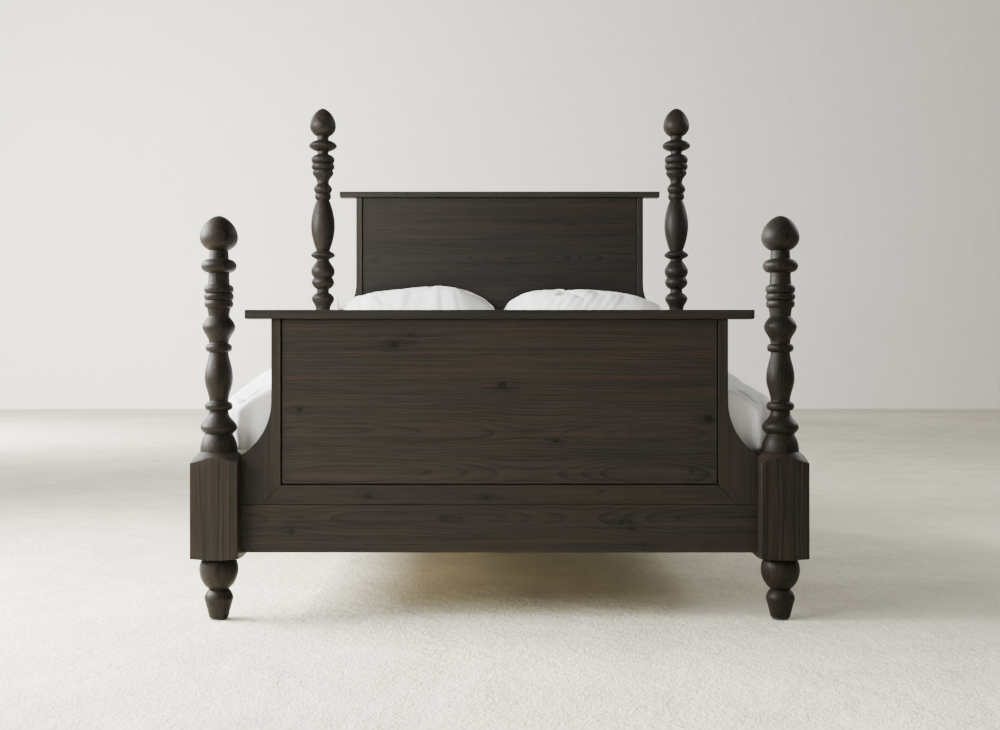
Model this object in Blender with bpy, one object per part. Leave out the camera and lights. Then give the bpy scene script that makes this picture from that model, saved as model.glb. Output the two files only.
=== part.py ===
"""Four-poster bed, queen size: turned posts with lift-off finials, framed head and foot boards,
hook-on side rails, slatted base, foundation, mattress, duvet and two pillows.

Metres, +Z up. The origin is on the floor under the middle of the bed, +Y runs from the foot
end to the head end, +X is to the right as seen from the foot end."""

import math

import bmesh
import bpy
from mathutils import Matrix, Vector

# ---------------------------------------------------------------- driving dimensions
GAP = 0.0003                 # clearance between neighbouring pieces

POST_X = 0.830               # post axes, left and right of the centre line
POST_Y = 1.095               # post axes, towards foot (-Y) and head (+Y)
BLOCK = 0.070                # half width of the square block of a post
BLOCK_Z0 = 0.183             # underside of every block
BLOCK_Z1_FOOT = 0.491        # top of the rounded shoulder on a foot post's block
BLOCK_Z1_HEAD = 0.985        # the same on a head post
SEGMENTS = 16                # sides of a turned piece
GLIDE_H = 0.006
GLIDE_R = 0.024

FRAME_T = 0.020              # half thickness of stiles and rails
STILE_IN = 0.644             # inner edge of a stile
STILE_OUT = 0.6724           # outer edge of a stile, upper part
WING_R = 0.186               # radius of the swept wing
MITRE_OUT = 0.699            # outer end of the mitre with the sub-rail
SUB_Z0, SUB_Z1 = 0.341, 0.398
BOTTOM_Z0 = 0.199
CAP_HALF, CAP_T, CAP_D = 0.749, 0.027, 0.030
CAP_TOP_FOOT, CAP_TOP_HEAD = 0.9134, 1.563
WING_Z_FOOT, WING_Z_HEAD = 0.6446, 1.131
PANEL_TONGUE = 0.008         # how far the panel runs into its grooves
PANEL_CORE = 0.005           # half thickness of the tongue
PANEL_FIELD = 0.016          # half thickness of the raised field
PANEL_REVEAL = 0.005         # shadow gap round the field
TENON_L, TENON_T, TENON_Z0, TENON_Z1 = 0.030, 0.010, 0.225, 0.315

RAIL_IN, RAIL_OUT = 0.785, 0.812
LEDGER_W, LEDGER_Z0, LEDGER_Z1 = 0.025, 0.215, 0.245
SLAT_N, SLAT_W, SLAT_T = 12, 0.070, 0.019
SLAT_REACH = 0.94            # y of the outermost slat
BEAM_W, BEAM_Z0 = 0.0225, 0.200
LEG_Y, LEG_W = 0.330, 0.0225

MAT_X, MAT_Y = 0.7575, 1.016            # half width and half length of the mattress
FOUND_Z1 = 0.445
MAT_Z1 = 0.680
PILLOW_L, PILLOW_H, PILLOW_T = 0.740, 0.470, 0.150
PILLOW_X = 0.384                        # pillow centres
PILLOW_LEAN = math.radians(36.0)        # back from upright
DUVET_END_Y = 0.620                     # turned-down edge of the duvet

FINIAL_Z_FOOT, FINIAL_Z_HEAD = 1.066, 1.8085      # joint between post and finial
PEG_R, PEG_L = 0.009, 0.028

# ---------------------------------------------------------------- clean start
for ob in list(bpy.data.objects):
    bpy.data.objects.remove(ob, do_unlink=True)

SCENE = bpy.context.scene.collection


def material(name, rgb, rough, metal=0.0):
    m = bpy.data.materials.new(name)
    m.use_nodes = True
    b = m.node_tree.nodes["Principled BSDF"]
    b.inputs["Base Color"].default_value = (*rgb, 1.0)
    b.inputs["Roughness"].default_value = rough
    b.inputs["Metallic"].default_value = metal
    m.diffuse_color = (*rgb, 1.0)
    return m


def stain(name, k=1.0):
    return material(name, (0.052 * k, 0.034 * k, 0.022 * k), 0.42)


def add(name, bm, mat, smooth=False):
    bmesh.ops.recalc_face_normals(bm, faces=bm.faces)
    me = bpy.data.meshes.new(name)
    bm.to_mesh(me)
    bm.free()
    me.materials.append(mat)
    if smooth:
        me.shade_smooth()
        me.set_sharp_from_angle(angle=math.radians(40))
    ob = bpy.data.objects.new(name, me)
    SCENE.objects.link(ob)
    return ob


def box_bm(x0, x1, y0, y1, z0, z1):
    bm = bmesh.new()
    bmesh.ops.create_cube(bm, size=1.0)
    for v in bm.verts:
        v.co.x = x0 if v.co.x < 0 else x1
        v.co.y = y0 if v.co.y < 0 else y1
        v.co.z = z0 if v.co.z < 0 else z1
    return bm


def box(name, x0, x1, y0, y1, z0, z1, mat):
    return add(name, box_bm(min(x0, x1), max(x0, x1), min(y0, y1), max(y0, y1), z0, z1), mat)


def prism(name, outline, lo, hi, axis, mat):
    """Outline (a, b) swept from lo to hi along axis: 'y' takes (x, z), 'x' takes (y, z)."""
    bm = bmesh.new()
    ends = []
    for t in (lo, hi):
        ends.append([bm.verts.new((a, t, b) if axis == "y" else (t, a, b)) for a, b in outline])
    n = len(outline)
    for i in range(n):
        j = (i + 1) % n
        bm.faces.new((ends[0][i], ends[0][j], ends[1][j], ends[1][i]))
    bm.faces.new(ends[0])
    bm.faces.new(list(reversed(ends[1])))
    return add(name, bm, mat)


def cutter(name, bm):
    ob = add(name, bm, CUT_MAT)
    ob.hide_render = True
    ob.display_type = "WIRE"
    return ob


def cut(ob, tool, kind="DIFFERENCE"):
    m = ob.modifiers.new(tool.name, "BOOLEAN")
    m.operation = kind
    m.solver = "EXACT"
    m.object = tool


CUT_MAT = material("guide", (0.8, 0.2, 0.2), 0.5)


# ---------------------------------------------------------------- turned profiles
def bead(z0, zc, z1, r0, rc, r1, n=4):
    """A rounded ring: elliptical from the groove r0 up to the crest rc and down to r1."""
    pts = []
    for i in range(n + 1):
        t = -math.pi / 2 + math.pi * i / n
        zs, rs = (zc - z0, r0) if t < 0 else (z1 - zc, r1)
        pts.append((rs + (rc - rs) * math.cos(t), zc + zs * math.sin(t)))
    return pts


def swell(z0, zc, z1, r0, rc, r1, p0=2.0, p1=2.0, n=6):
    """A baluster belly: power p shapes each flank, 2 gives an ogee into the neck."""
    pts = []
    for i in range(n + 1):
        u = -1.0 + 2.0 * i / n
        zs, rs, p = (zc - z0, r0, p0) if u < 0 else (z1 - zc, r1, p1)
        pts.append((rs + (rc - rs) * math.cos(math.pi / 2 * u) ** p, zc + zs * u))
    return pts


def sweep(z0, z1, r0, r1, p=1.0, n=3):
    """From r0 to r1: p above 1 leaves r0 quickly, p below 1 slowly."""
    return [(r1 + (r0 - r1) * (1 - i / n) ** p, z0 + (z1 - z0) * i / n) for i in range(n + 1)]


def egg(z0, zc, z1, r0, rc, n0=2, n1=3):
    """A finial's egg: quarter ellipse out to rc, quarter ellipse in to the tip."""
    low = [(r0 + (rc - r0) * math.sin(math.pi / 2 * i / n0), zc - (zc - z0) * math.cos(math.pi / 2 * i / n0))
           for i in range(n0)]
    high = [(rc * math.cos(math.pi / 2 * i / n1), zc + (z1 - zc) * math.sin(math.pi / 2 * i / n1))
            for i in range(n1)]
    return low + high + [(0.16 * rc, z1)]


def join(*runs):
    """Runs end to end, dropping points that would be closer than 0.7 mm."""
    out = []
    for run in runs:
        for r, z in run:
            if not out or math.hypot(out[-1][0] - r, out[-1][1] - z) > 0.0007:
                out.append((r, z))
    return out


FOOT_PROFILE = join(
    [(0.026, GLIDE_H + GAP), (0.029, 0.010)],
    sweep(0.012, 0.052, 0.0295, 0.0402, 0.72, 2),
    swell(0.053, 0.064, 0.090, 0.0405, 0.0422, 0.0305, 1.0, 1.0, 4)[1:],
    [(0.0565 * math.sqrt(1 - ((z - 0.148) / 0.065) ** 2), z) for z in (0.096, 0.110, 0.128, 0.148, 0.168, 0.183)],
)

FOOT_UPPER = join(
    [(0.0533 - 0.0138 * t ** 2.1, BLOCK_Z1_FOOT + 0.056 * t) for t in (0.0, 0.45, 0.8, 1.0)],
    [(0.0455, 0.5515), (0.0529, 0.5650)],
    sweep(0.566, 0.613, 0.0525, 0.0282, 2.0, 4),
    bead(0.6158, 0.629, 0.6416, 0.0285, 0.0392, 0.0285),
    swell(0.6425, 0.717, 0.788, 0.0273, 0.0401, 0.0275, 1.3, 1.3, 6),
    bead(0.7896, 0.800, 0.8134, 0.0285, 0.038, 0.0285),
    sweep(0.815, 0.862, 0.0280, 0.0470, 0.75, 4),
    [(0.0455, 0.872), (0.0355, 0.887), (0.0306, 0.892), (0.0324, 0.919)],
    bead(0.920, 0.931, 0.942, 0.0366, 0.0412, 0.0366),
    bead(0.942, 0.9525, 0.963, 0.0366, 0.0428, 0.0366),
    bead(0.9635, 0.9745, 0.987, 0.0366, 0.0423, 0.0320),
    [(0.0306, 0.990), (0.0294, 1.0225)],
    bead(1.0235, 1.0437, 1.0630, 0.0315, 0.0508, 0.0300),
    [(0.0275, FINIAL_Z_FOOT)],
)

HEAD_UPPER = join(
    [(0.0533 - 0.020 * t ** 1.4, BLOCK_Z1_HEAD + 0.028 * t) for t in (0.0, 0.5, 1.0)],
    sweep(1.0155, 1.034, 0.0328, 0.0375, 1.0, 1),
    bead(1.034, 1.063, 1.092, 0.0375, 0.0513, 0.0285, 5),
    [(0.0279, 1.096), (0.0283, 1.105)],
    bead(1.107, 1.138, 1.161, 0.0290, 0.0515, 0.0425),
    bead(1.161, 1.188, 1.242, 0.0425, 0.0534, 0.0288, 5),
    bead(1.245, 1.266, 1.288, 0.0290, 0.0548, 0.0319),
    swell(1.290, 1.403, 1.523, 0.0319, 0.0540, 0.0290, 1.2, 1.3, 8),
    bead(1.524, 1.542, 1.557, 0.0288, 0.0368, 0.0312),
    bead(1.557, 1.575, 1.601, 0.0312, 0.0420, 0.0275),
    sweep(1.604, 1.650, 0.0269, 0.0470, 0.75, 4),
    bead(1.652, 1.660, 1.666, 0.0472, 0.0450, 0.0420, 2),
    bead(1.666, 1.6825, 1.699, 0.0420, 0.0523, 0.0439),
    bead(1.699, 1.715, 1.737, 0.0439, 0.0524, 0.0262),
    [(0.0255, 1.741), (0.0255, 1.752)],
    bead(1.755, 1.778, 1.806, 0.0270, 0.0638, 0.0270),
    [(0.0262, FINIAL_Z_HEAD)],
)

FINIAL_FOOT = join([(0.0273, FINIAL_Z_FOOT + GAP)], egg(1.088, 1.127, 1.192, 0.0270, 0.0540))
FINIAL_HEAD = join([(0.0260, FINIAL_Z_HEAD + GAP)], egg(1.820, 1.873, 1.9565, 0.0275, 0.0598))


def rings_to_bm(rings, seg=SEGMENTS):
    """Closed skin through rings of seg points each; the first and last are capped flat."""
    bm = bmesh.new()
    loops = [[bm.verts.new(p) for p in ring] for ring in rings]
    for a, b in zip(loops, loops[1:]):
        for i in range(seg):
            j = (i + 1) % seg
            bm.faces.new((a[i], a[j], b[j], b[i]))
    bm.faces.new(list(reversed(loops[0])))
    bm.faces.new(loops[-1])
    return bm


def round_ring(r, z, seg=SEGMENTS):
    return [(r * math.cos(2 * math.pi * i / seg), r * math.sin(2 * math.pi * i / seg), z) for i in range(seg)]


def square_radius(a, half):
    return half / max(abs(math.cos(a)), abs(math.sin(a)))


def square_ring(half, z_of_r, seg=SEGMENTS):
    out = []
    for i in range(seg):
        a = 2 * math.pi * i / seg
        r = square_radius(a, half)
        out.append((r * math.cos(a), r * math.sin(a), z_of_r(r)))
    return out


def pommel(z_top):
    """Height of the rounded shoulder turned on a block, at radius r."""
    return lambda r: z_top - 0.022 * ((r - 0.0533) / (0.099 - 0.0533)) ** 1.35


def post(name, upper, z_top, x, y, mat):
    """Foot turning, square block, upper turning and the finial's socket as one skin."""
    shoulder = pommel(z_top)
    rings = [round_ring(r, z) for r, z in FOOT_PROFILE]
    rings.append(square_ring(BLOCK, lambda r: BLOCK_Z0 + 0.004 * (r - BLOCK) / (0.099 - BLOCK)))
    rings.append(square_ring(BLOCK, shoulder))
    rings.append(round_ring(0.0625, shoulder(0.0625)))
    rings += [round_ring(r, z) for r, z in upper]
    top = upper[-1][1]
    rings.append(round_ring(PEG_R + GAP, top))
    rings.append(round_ring(PEG_R + GAP, top - PEG_L - 0.001))
    ob = add(name, rings_to_bm(rings), mat, smooth=True)
    ob.location = (x, y, 0)
    return ob


def finial(name, profile, x, y, mat):
    base = profile[0][1]
    rings = [round_ring(PEG_R, base - GAP - PEG_L), round_ring(PEG_R, base)]
    rings += [round_ring(r, z) for r, z in profile]
    ob = add(name, rings_to_bm(rings), mat, smooth=True)
    ob.location = (x, y, 0)
    return ob


# ---------------------------------------------------------------- posts, finials, glides
SIDES = (("left", -1), ("right", 1))
ENDS = (("foot", -1), ("head", 1))

posts = {}
for end, sy in ENDS:
    upper, z_top, prof = (FOOT_UPPER, BLOCK_Z1_FOOT, FINIAL_FOOT) if sy < 0 else (HEAD_UPPER, BLOCK_Z1_HEAD, FINIAL_HEAD)
    for side, sx in SIDES:
        x, y = sx * POST_X, sy * POST_Y
        posts[end, side] = post(f"post_{end}_{side}", upper, z_top, x, y, stain(f"post_{end}_{side}"))
        finial(f"finial_{end}_{side}", prof, x, y, stain(f"finial_{end}_{side}", 0.95))
        g = add(f"glide_{end}_{side}", rings_to_bm([round_ring(GLIDE_R - 0.0015, 0.0), round_ring(GLIDE_R, 0.0015), round_ring(GLIDE_R, GLIDE_H)]),
                material(f"glide_{end}_{side}", (0.05, 0.045, 0.04), 0.7), smooth=True)
        g.location = (x, y, 0)


# ---------------------------------------------------------------- head and foot boards
def panel_bm(x, z0, z1):
    """Panel with a tongue all round and a raised field on both faces."""
    bm = bmesh.new()
    t, f = PANEL_TONGUE, PANEL_REVEAL
    levels = ((-PANEL_FIELD, -f), (-PANEL_CORE, -f), (-PANEL_CORE, t), (PANEL_CORE, t), (PANEL_CORE, -f), (PANEL_FIELD, -f))
    loops = []
    for y, g in levels:
        loops.append([bm.verts.new(p) for p in ((-x - g, y, z0 - g), (x + g, y, z0 - g), (x + g, y, z1 + g), (-x - g, y, z1 + g))])
    for a, b in zip(loops, loops[1:]):
        for i in range(4):
            j = (i + 1) % 4
            bm.faces.new((a[i], a[j], b[j], b[i]))
    bm.faces.new(loops[0])
    bm.faces.new(list(reversed(loops[-1])))
    return bm


def wing_outline(sx, cap_under, wing_z, n=8):
    """Stile seen from the front: mitre at the sub-rail, wing swept down to the post block."""
    block = POST_X - BLOCK - GAP
    cx = STILE_OUT + WING_R
    pts = [(STILE_IN, cap_under), (STILE_IN, SUB_Z1), (MITRE_OUT, SUB_Z0 + GAP), (block, SUB_Z0 + GAP)]
    end = math.acos((cx - block) / WING_R)
    for i in range(n + 1):
        a = end * (1 - i / n)
        pts.append((cx - WING_R * math.cos(a), wing_z - WING_R * math.sin(a)))
    pts.append((STILE_OUT, cap_under))
    return [(sx * px, pz) for px, pz in pts]


def board(word, sy, cap_top, wing_z):
    y = sy * POST_Y
    cap_z0 = cap_top - CAP_T
    groove = PANEL_TONGUE + GAP
    tool = cutter(f"{word}_groove", box_bm(-STILE_IN - groove, STILE_IN + groove, y - PANEL_CORE - GAP, y + PANEL_CORE + GAP,
                                           SUB_Z1 - groove, cap_z0 + groove))
    cap = box(f"{word}_cap", -CAP_HALF, CAP_HALF, y - CAP_D, y + CAP_D, cap_z0, cap_top, stain(f"{word}_cap"))
    bev = cap.modifiers.new("eased_edges", "BEVEL")
    bev.width, bev.segments, bev.limit_method = 0.003, 1, "ANGLE"
    cut(cap, tool)
    for side, sx in SIDES:
        st = prism(f"{word}_stile_{side}", wing_outline(sx, cap_z0 - GAP, wing_z), y - FRAME_T, y + FRAME_T, "y", stain(f"{word}_stile_{side}"))
        cut(st, tool)
    m = GAP * 1.5
    sub = prism(f"{word}_sub_rail", [(-STILE_IN + m, SUB_Z1), (STILE_IN - m, SUB_Z1), (MITRE_OUT - m, SUB_Z0 + GAP), (-MITRE_OUT + m, SUB_Z0 + GAP)],
                y - FRAME_T, y + FRAME_T, "y", stain(f"{word}_sub_rail"))
    cut(sub, tool)
    end = POST_X - BLOCK - GAP
    bm = bmesh.new()
    hw = ((-end - TENON_L, 1), (-end, 1), (-end, 0), (end, 0), (end, 1), (end + TENON_L, 1))
    loops = []
    for x, tenon in hw:
        hy, za, zb = (TENON_T, TENON_Z0, TENON_Z1) if tenon else (FRAME_T, BOTTOM_Z0, SUB_Z0)
        loops.append([bm.verts.new(p) for p in ((x, y - hy, za), (x, y + hy, za), (x, y + hy, zb), (x, y - hy, zb))])
    for a, b in zip(loops, loops[1:]):
        for i in range(4):
            j = (i + 1) % 4
            bm.faces.new((a[i], a[j], b[j], b[i]))
    bm.faces.new(list(reversed(loops[0])))
    bm.faces.new(loops[-1])
    add(f"{word}_bottom_rail", bm, stain(f"{word}_bottom_rail"))
    pan = add(f"{word}_panel", panel_bm(STILE_IN, SUB_Z1, cap_z0), stain(f"{word}_panel", 1.05))
    pan.location.y = y


board("footboard", -1, CAP_TOP_FOOT, WING_Z_FOOT)
board("headboard", 1, CAP_TOP_HEAD, WING_Z_HEAD)

# ---------------------------------------------------------------- side rails with hooks and keepers
STEEL = (0.42, 0.42, 0.43)
FACE = POST_Y - BLOCK                       # inner face of a block, towards the middle of the bed
HOOK_T = 0.0027
KEEP_T = 0.0025
HOOKS = (0.260, 0.306)                      # lower tips of the two hooks

for side, sx in SIDES:
    box(f"side_rail_{side}", sx * RAIL_IN, sx * RAIL_OUT, -FACE + GAP, FACE - GAP, BOTTOM_Z0, SUB_Z0, stain(f"side_rail_{side}"))
    box(f"ledger_{side}", sx * (RAIL_IN - LEDGER_W), sx * (RAIL_IN - GAP), -FACE + 0.03, FACE - 0.03, LEDGER_Z0, LEDGER_Z1,
        material(f"ledger_{side}", (0.42, 0.30, 0.18), 0.6))

for end, sy in ENDS:
    for side, sx in SIDES:
        def at(y):                           # y counted outward from the block's face
            return sy * (FACE + y)
        # plate on the rail's inner face, two hooks reaching into the post
        pts = [(-0.060, 0.252), (-0.0006, 0.252)]
        for tip in HOOKS:
            pts += [(-0.0006, tip + 0.012), (0.0055, tip + 0.012), (0.0055, tip), (0.0145, tip), (0.0145, tip + 0.024), (-0.0006, tip + 0.024)]
        pts += [(-0.0006, 0.338), (-0.060, 0.338)]
        xs = sorted((sx * (RAIL_IN - GAP - HOOK_T), sx * (RAIL_IN - GAP)))
        prism(f"rail_hook_{end}_{side}", [(at(a), b) for a, b in pts], xs[0], xs[1], "x", material(f"rail_hook_{end}_{side}", STEEL, 0.45, 1.0))
        # slotted keeper let in flush with the block's face
        kx = RAIL_IN - GAP - HOOK_T / 2
        keep = box(f"rail_keeper_{end}_{side}", sx * (kx - 0.013), sx * (kx + 0.013), at(0.0002), at(0.0002 + KEEP_T), 0.246, 0.352,
                   material(f"rail_keeper_{end}_{side}", STEEL, 0.45, 1.0))
        p = posts[end, side]
        def post_cut(tag, x0, x1, y0, y1, z0, z1):
            xa, xb = sorted((sx * x0, sx * x1))
            ya, yb = sorted((y0, y1))
            tool = cutter(f"{tag}_{end}_{side}", box_bm(xa, xb, ya, yb, z0, z1))
            cut(p, tool)
        post_cut("keeper_recess", kx - 0.013 - GAP, kx + 0.013 + GAP, at(-0.002), at(0.0002 + KEEP_T + GAP), 0.246 - GAP, 0.352 + GAP)
        post_cut("hook_mortise", kx - 0.0045, kx + 0.0045, at(0.001), at(0.017), 0.256, 0.347)
        post_cut("tenon_mortise", POST_X - BLOCK - 0.002, POST_X - BLOCK + TENON_L + GAP, sy * POST_Y - TENON_T - GAP, sy * POST_Y + TENON_T + GAP,
                 TENON_Z0 - GAP, TENON_Z1 + GAP)
        for k, tip in enumerate(HOOKS):
            xa, xb = sorted((sx * (kx - 0.0028), sx * (kx + 0.0028)))
            ya, yb = sorted((at(-0.002), at(0.004)))
            cut(keep, cutter(f"keeper_slot_{k}_{end}_{side}", box_bm(xa, xb, ya, yb, tip + 0.012 - GAP, tip + 0.012 + 0.0255)))

# ---------------------------------------------------------------- slatted base
for i in range(SLAT_N):
    y = -SLAT_REACH + 2 * SLAT_REACH * i / (SLAT_N - 1)
    reach = RAIL_IN - 0.002 - HOOK_T
    box(f"slat_{i + 1:02d}", -reach, reach, y - SLAT_W / 2, y + SLAT_W / 2, LEDGER_Z1 + GAP, LEDGER_Z1 + GAP + SLAT_T,
        material(f"slat_{i + 1:02d}", (0.50, 0.37, 0.23), 0.6))

BOARD_FACE = POST_Y - FRAME_T                # inner face of the boards
box("centre_beam", -BEAM_W, BEAM_W, -BOARD_FACE + 0.004, BOARD_FACE - 0.004, BEAM_Z0, LEDGER_Z1, material("centre_beam", (0.46, 0.33, 0.20), 0.6))
for end, sy in ENDS:
    t, hx = 0.0025, BEAM_W + GAP
    saddle = prism(f"beam_hanger_{end}", [(-hx - t, BEAM_Z0 - GAP - t), (hx + t, BEAM_Z0 - GAP - t), (hx + t, LEDGER_Z1 - 0.001), (hx, LEDGER_Z1 - 0.001),
                                          (hx, BEAM_Z0 - GAP), (-hx, BEAM_Z0 - GAP), (-hx, LEDGER_Z1 - 0.001), (-hx - t, LEDGER_Z1 - 0.001)],
                   *sorted((sy * (BOARD_FACE - GAP), sy * (BOARD_FACE - 0.036))), "y", material(f"beam_hanger_{end}", STEEL, 0.45, 1.0))
box("centre_leg", -LEG_W, LEG_W, LEG_Y - LEG_W, LEG_Y + LEG_W, GLIDE_H + GAP, BEAM_Z0 - GAP, material("centre_leg", (0.46, 0.33, 0.20), 0.6))
g = add("glide_centre", rings_to_bm([round_ring(0.0185, 0.0), round_ring(0.020, 0.0015), round_ring(0.020, GLIDE_H)]), material("glide_centre", (0.05, 0.045, 0.04), 0.7), smooth=True)
g.location = (0, LEG_Y, 0)


# ---------------------------------------------------------------- foundation, mattress
def rounded_slab(name, hx, hy, z0, z1, plan_r, edge_r, mat, n_plan=3, n_edge=3):
    """Slab with rounded upright corners and rounded top and bottom edges."""
    def loop(inset, z):
        pts = []
        r = max(plan_r - inset, 0.002)
        for cx, cy, a0 in ((hx, hy, 0.0), (-hx, hy, 0.5), (-hx, -hy, 1.0), (hx, -hy, 1.5)):
            ox = (abs(cx) - plan_r) * (1 if cx > 0 else -1)
            oy = (abs(cy) - plan_r) * (1 if cy > 0 else -1)
            for i in range(n_plan + 1):
                a = math.pi * (a0 + 0.5 * i / n_plan)
                pts.append((ox + r * math.cos(a), oy + r * math.sin(a), z))
        return pts
    rings = []
    for i in range(n_edge + 1):
        a = math.pi / 2 * i / n_edge
        rings.append(loop(edge_r * (1 - math.sin(a)), z0 + edge_r * (1 - math.cos(a))))
    for i in range(n_edge + 1):
        a = math.pi / 2 * i / n_edge
        rings.append(loop(edge_r * (1 - math.cos(a)), z1 - edge_r * (1 - math.sin(a))))
    return add(name, rings_to_bm(rings, seg=4 * (n_plan + 1)), mat, smooth=True)


rounded_slab("foundation", MAT_X - 0.004, MAT_Y - 0.003, LEDGER_Z1 + 2 * GAP + SLAT_T, FOUND_Z1, 0.050, 0.015, material("foundation", (0.80, 0.79, 0.76), 0.9))
rounded_slab("mattress", MAT_X, MAT_Y, FOUND_Z1 + GAP, MAT_Z1, 0.070, 0.050, material("mattress", (0.86, 0.85, 0.82), 0.9))

# ---------------------------------------------------------------- duvet
OUTER = [(0.45, 0.762), (0.62, 0.752), (0.696, 0.735), (0.744, 0.709), (0.782, 0.680), (0.823, 0.646), (0.852, 0.590), (0.866, 0.500), (0.868, 0.385)]
INNER = [(0.832, 0.385), (0.830, 0.480), (0.820, 0.560), (0.800, 0.620), (0.775, 0.656), (0.745, 0.678), (0.700, 0.6875)]
section = OUTER + INNER + [(-x, z) for x, z in reversed(INNER)] + [(-x, z) for x, z in reversed(OUTER)]
duvet_mat = material("duvet", (0.86, 0.86, 0.85), 0.9)
duvet = prism("duvet", section, -FACE + 0.007, DUVET_END_Y, "y", duvet_mat)
fold = prism("duvet_foot_fold", [(-1.056, 0.470), (-1.0215, 0.470), (-1.0215, 0.664), (-1.006, 0.692), (-0.960, 0.695), (-0.960, 0.745),
                                 (-1.020, 0.742), (-1.044, 0.722), (-1.056, 0.690)], -0.735, 0.735, "x", duvet_mat)
fold.hide_render = True
fold.display_type = "WIRE"
cut(duvet, fold, "UNION")


# ---------------------------------------------------------------- pillows
def pillow(name, x, mat, nu=10, nv=8, nw=2):
    """Crowned pillow: an outline with soft corners, full in the middle and thin at its seam."""
    bm = bmesh.new()
    hl, hh, ht = PILLOW_L / 2, PILLOW_H / 2, PILLOW_T / 2
    n = 24
    rings = []
    for level in (-1.0, -0.86, -0.45, 0.45, 0.86, 1.0):
        k = {1.0: 0.62, 0.86: 0.84, 0.45: 1.0}[abs(level)]
        ring = []
        for i in range(n):
            a = 2 * math.pi * i / n
            c, s = math.cos(a), math.sin(a)
            e = 0.55
            px = hl * k * math.copysign(abs(c) ** e, c)
            pz = hh * k * math.copysign(abs(s) ** e, s)
            ring.append((px, level * ht, pz))
        rings.append(ring)
    bm.free()
    bm = rings_to_bm(rings, seg=n)
    ob = add(name, bm, mat, smooth=True)
    # lean back against the headboard, lower edge standing on the mattress
    rot = Matrix.Rotation(-PILLOW_LEAN, 4, "X")
    lo = min((rot @ v.co).z for v in ob.data.vertices)
    back = max((rot @ v.co).y for v in ob.data.vertices)
    ob.rotation_euler = (-PILLOW_LEAN, 0, 0)
    ob.location = (x, BOARD_FACE - 0.0015 - back, MAT_Z1 + GAP - lo)
    return ob


for side, sx in SIDES:
    pillow(f"pillow_{side}", sx * PILLOW_X, material(f"pillow_{side}", (0.85, 0.85, 0.84), 0.9))
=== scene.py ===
import math
import random

import bmesh
import bpy
import numpy as np
from mathutils import Matrix, Vector, noise


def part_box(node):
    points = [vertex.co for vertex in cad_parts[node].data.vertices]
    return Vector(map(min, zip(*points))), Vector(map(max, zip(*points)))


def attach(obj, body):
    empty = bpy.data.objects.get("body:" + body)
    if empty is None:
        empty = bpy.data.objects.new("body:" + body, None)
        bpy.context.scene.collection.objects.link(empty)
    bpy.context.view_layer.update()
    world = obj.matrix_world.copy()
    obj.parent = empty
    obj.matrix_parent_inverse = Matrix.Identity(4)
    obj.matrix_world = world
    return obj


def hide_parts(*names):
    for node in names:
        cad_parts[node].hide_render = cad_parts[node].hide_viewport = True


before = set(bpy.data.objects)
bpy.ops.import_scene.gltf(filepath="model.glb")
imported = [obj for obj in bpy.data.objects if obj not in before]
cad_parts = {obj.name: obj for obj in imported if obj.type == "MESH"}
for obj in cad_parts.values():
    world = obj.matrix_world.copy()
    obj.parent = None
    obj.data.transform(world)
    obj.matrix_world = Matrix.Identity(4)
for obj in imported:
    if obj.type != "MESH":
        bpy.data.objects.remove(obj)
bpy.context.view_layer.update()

COL = bpy.context.scene.collection

# ------------------------------------------------------------------ camera
cam_data = bpy.data.cameras.new("camera")
cam_data.lens = 45.24
cam_data.sensor_width = 36.0
cam_data.shift_x = 0.0004
cam_data.clip_end = 200.0
cam = bpy.data.objects.new("camera", cam_data)
cam.location = (0.0, -4.811, 0.751)
cam.rotation_euler = (math.radians(90), 0, 0)
COL.objects.link(cam)
bpy.context.scene.camera = cam


# ------------------------------------------------------------------ places, read from the frame
def mid(node):
    lo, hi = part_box(node)
    return (lo + hi) / 2


SIDES = (("left", -1), ("right", 1))
ENDS = (("foot", -1), ("head", 1))
POST = {(e, s): mid(f"post_{e}_{s}") for e, _ in ENDS for s, _ in SIDES}
POST_X = POST["foot", "right"].x
POST_Y = POST["head", "right"].y
BLOCK = (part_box("post_foot_right")[1].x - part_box("post_foot_right")[0].x) / 2
GLIDE_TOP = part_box("glide_foot_left")[1].z

# ------------------------------------------------------------------ mesh helpers
def link(name, me, mat=None):
    ob = bpy.data.objects.new(name, me)
    COL.objects.link(ob)
    if mat is not None:
        me.materials.append(mat)
    return ob


def finish_bm(name, bm, mat=None, smooth=True, weighted=False, angle=None):
    bmesh.ops.recalc_face_normals(bm, faces=bm.faces)
    me = bpy.data.meshes.new(name)
    bm.to_mesh(me)
    bm.free()
    if smooth:
        me.shade_smooth()
        if angle:
            me.set_sharp_from_angle(angle=math.radians(angle))
    ob = link(name, me, mat)
    if weighted:
        m = ob.modifiers.new("even_normals", "WEIGHTED_NORMAL")
        m.keep_sharp = False
        m.weight = 80
    return ob


def bevel_all(bm, width, segments=2, angle=25):
    edges = [e for e in bm.edges if len(e.link_faces) == 2 and e.calc_face_angle(0) > math.radians(angle)]
    bmesh.ops.bevel(bm, geom=edges, offset=width, segments=segments, profile=0.5, affect="EDGES", clamp_overlap=True)


def rbox(name, x0, x1, y0, y1, z0, z1, mat, bevel=0.0015, segments=2):
    bm = bmesh.new()
    bmesh.ops.create_cube(bm, size=1.0)
    for v in bm.verts:
        v.co.x = x0 if v.co.x < 0 else x1
        v.co.y = y0 if v.co.y < 0 else y1
        v.co.z = z0 if v.co.z < 0 else z1
    bevel_all(bm, bevel, segments)
    return finish_bm(name, bm, mat, weighted=True)


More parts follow.
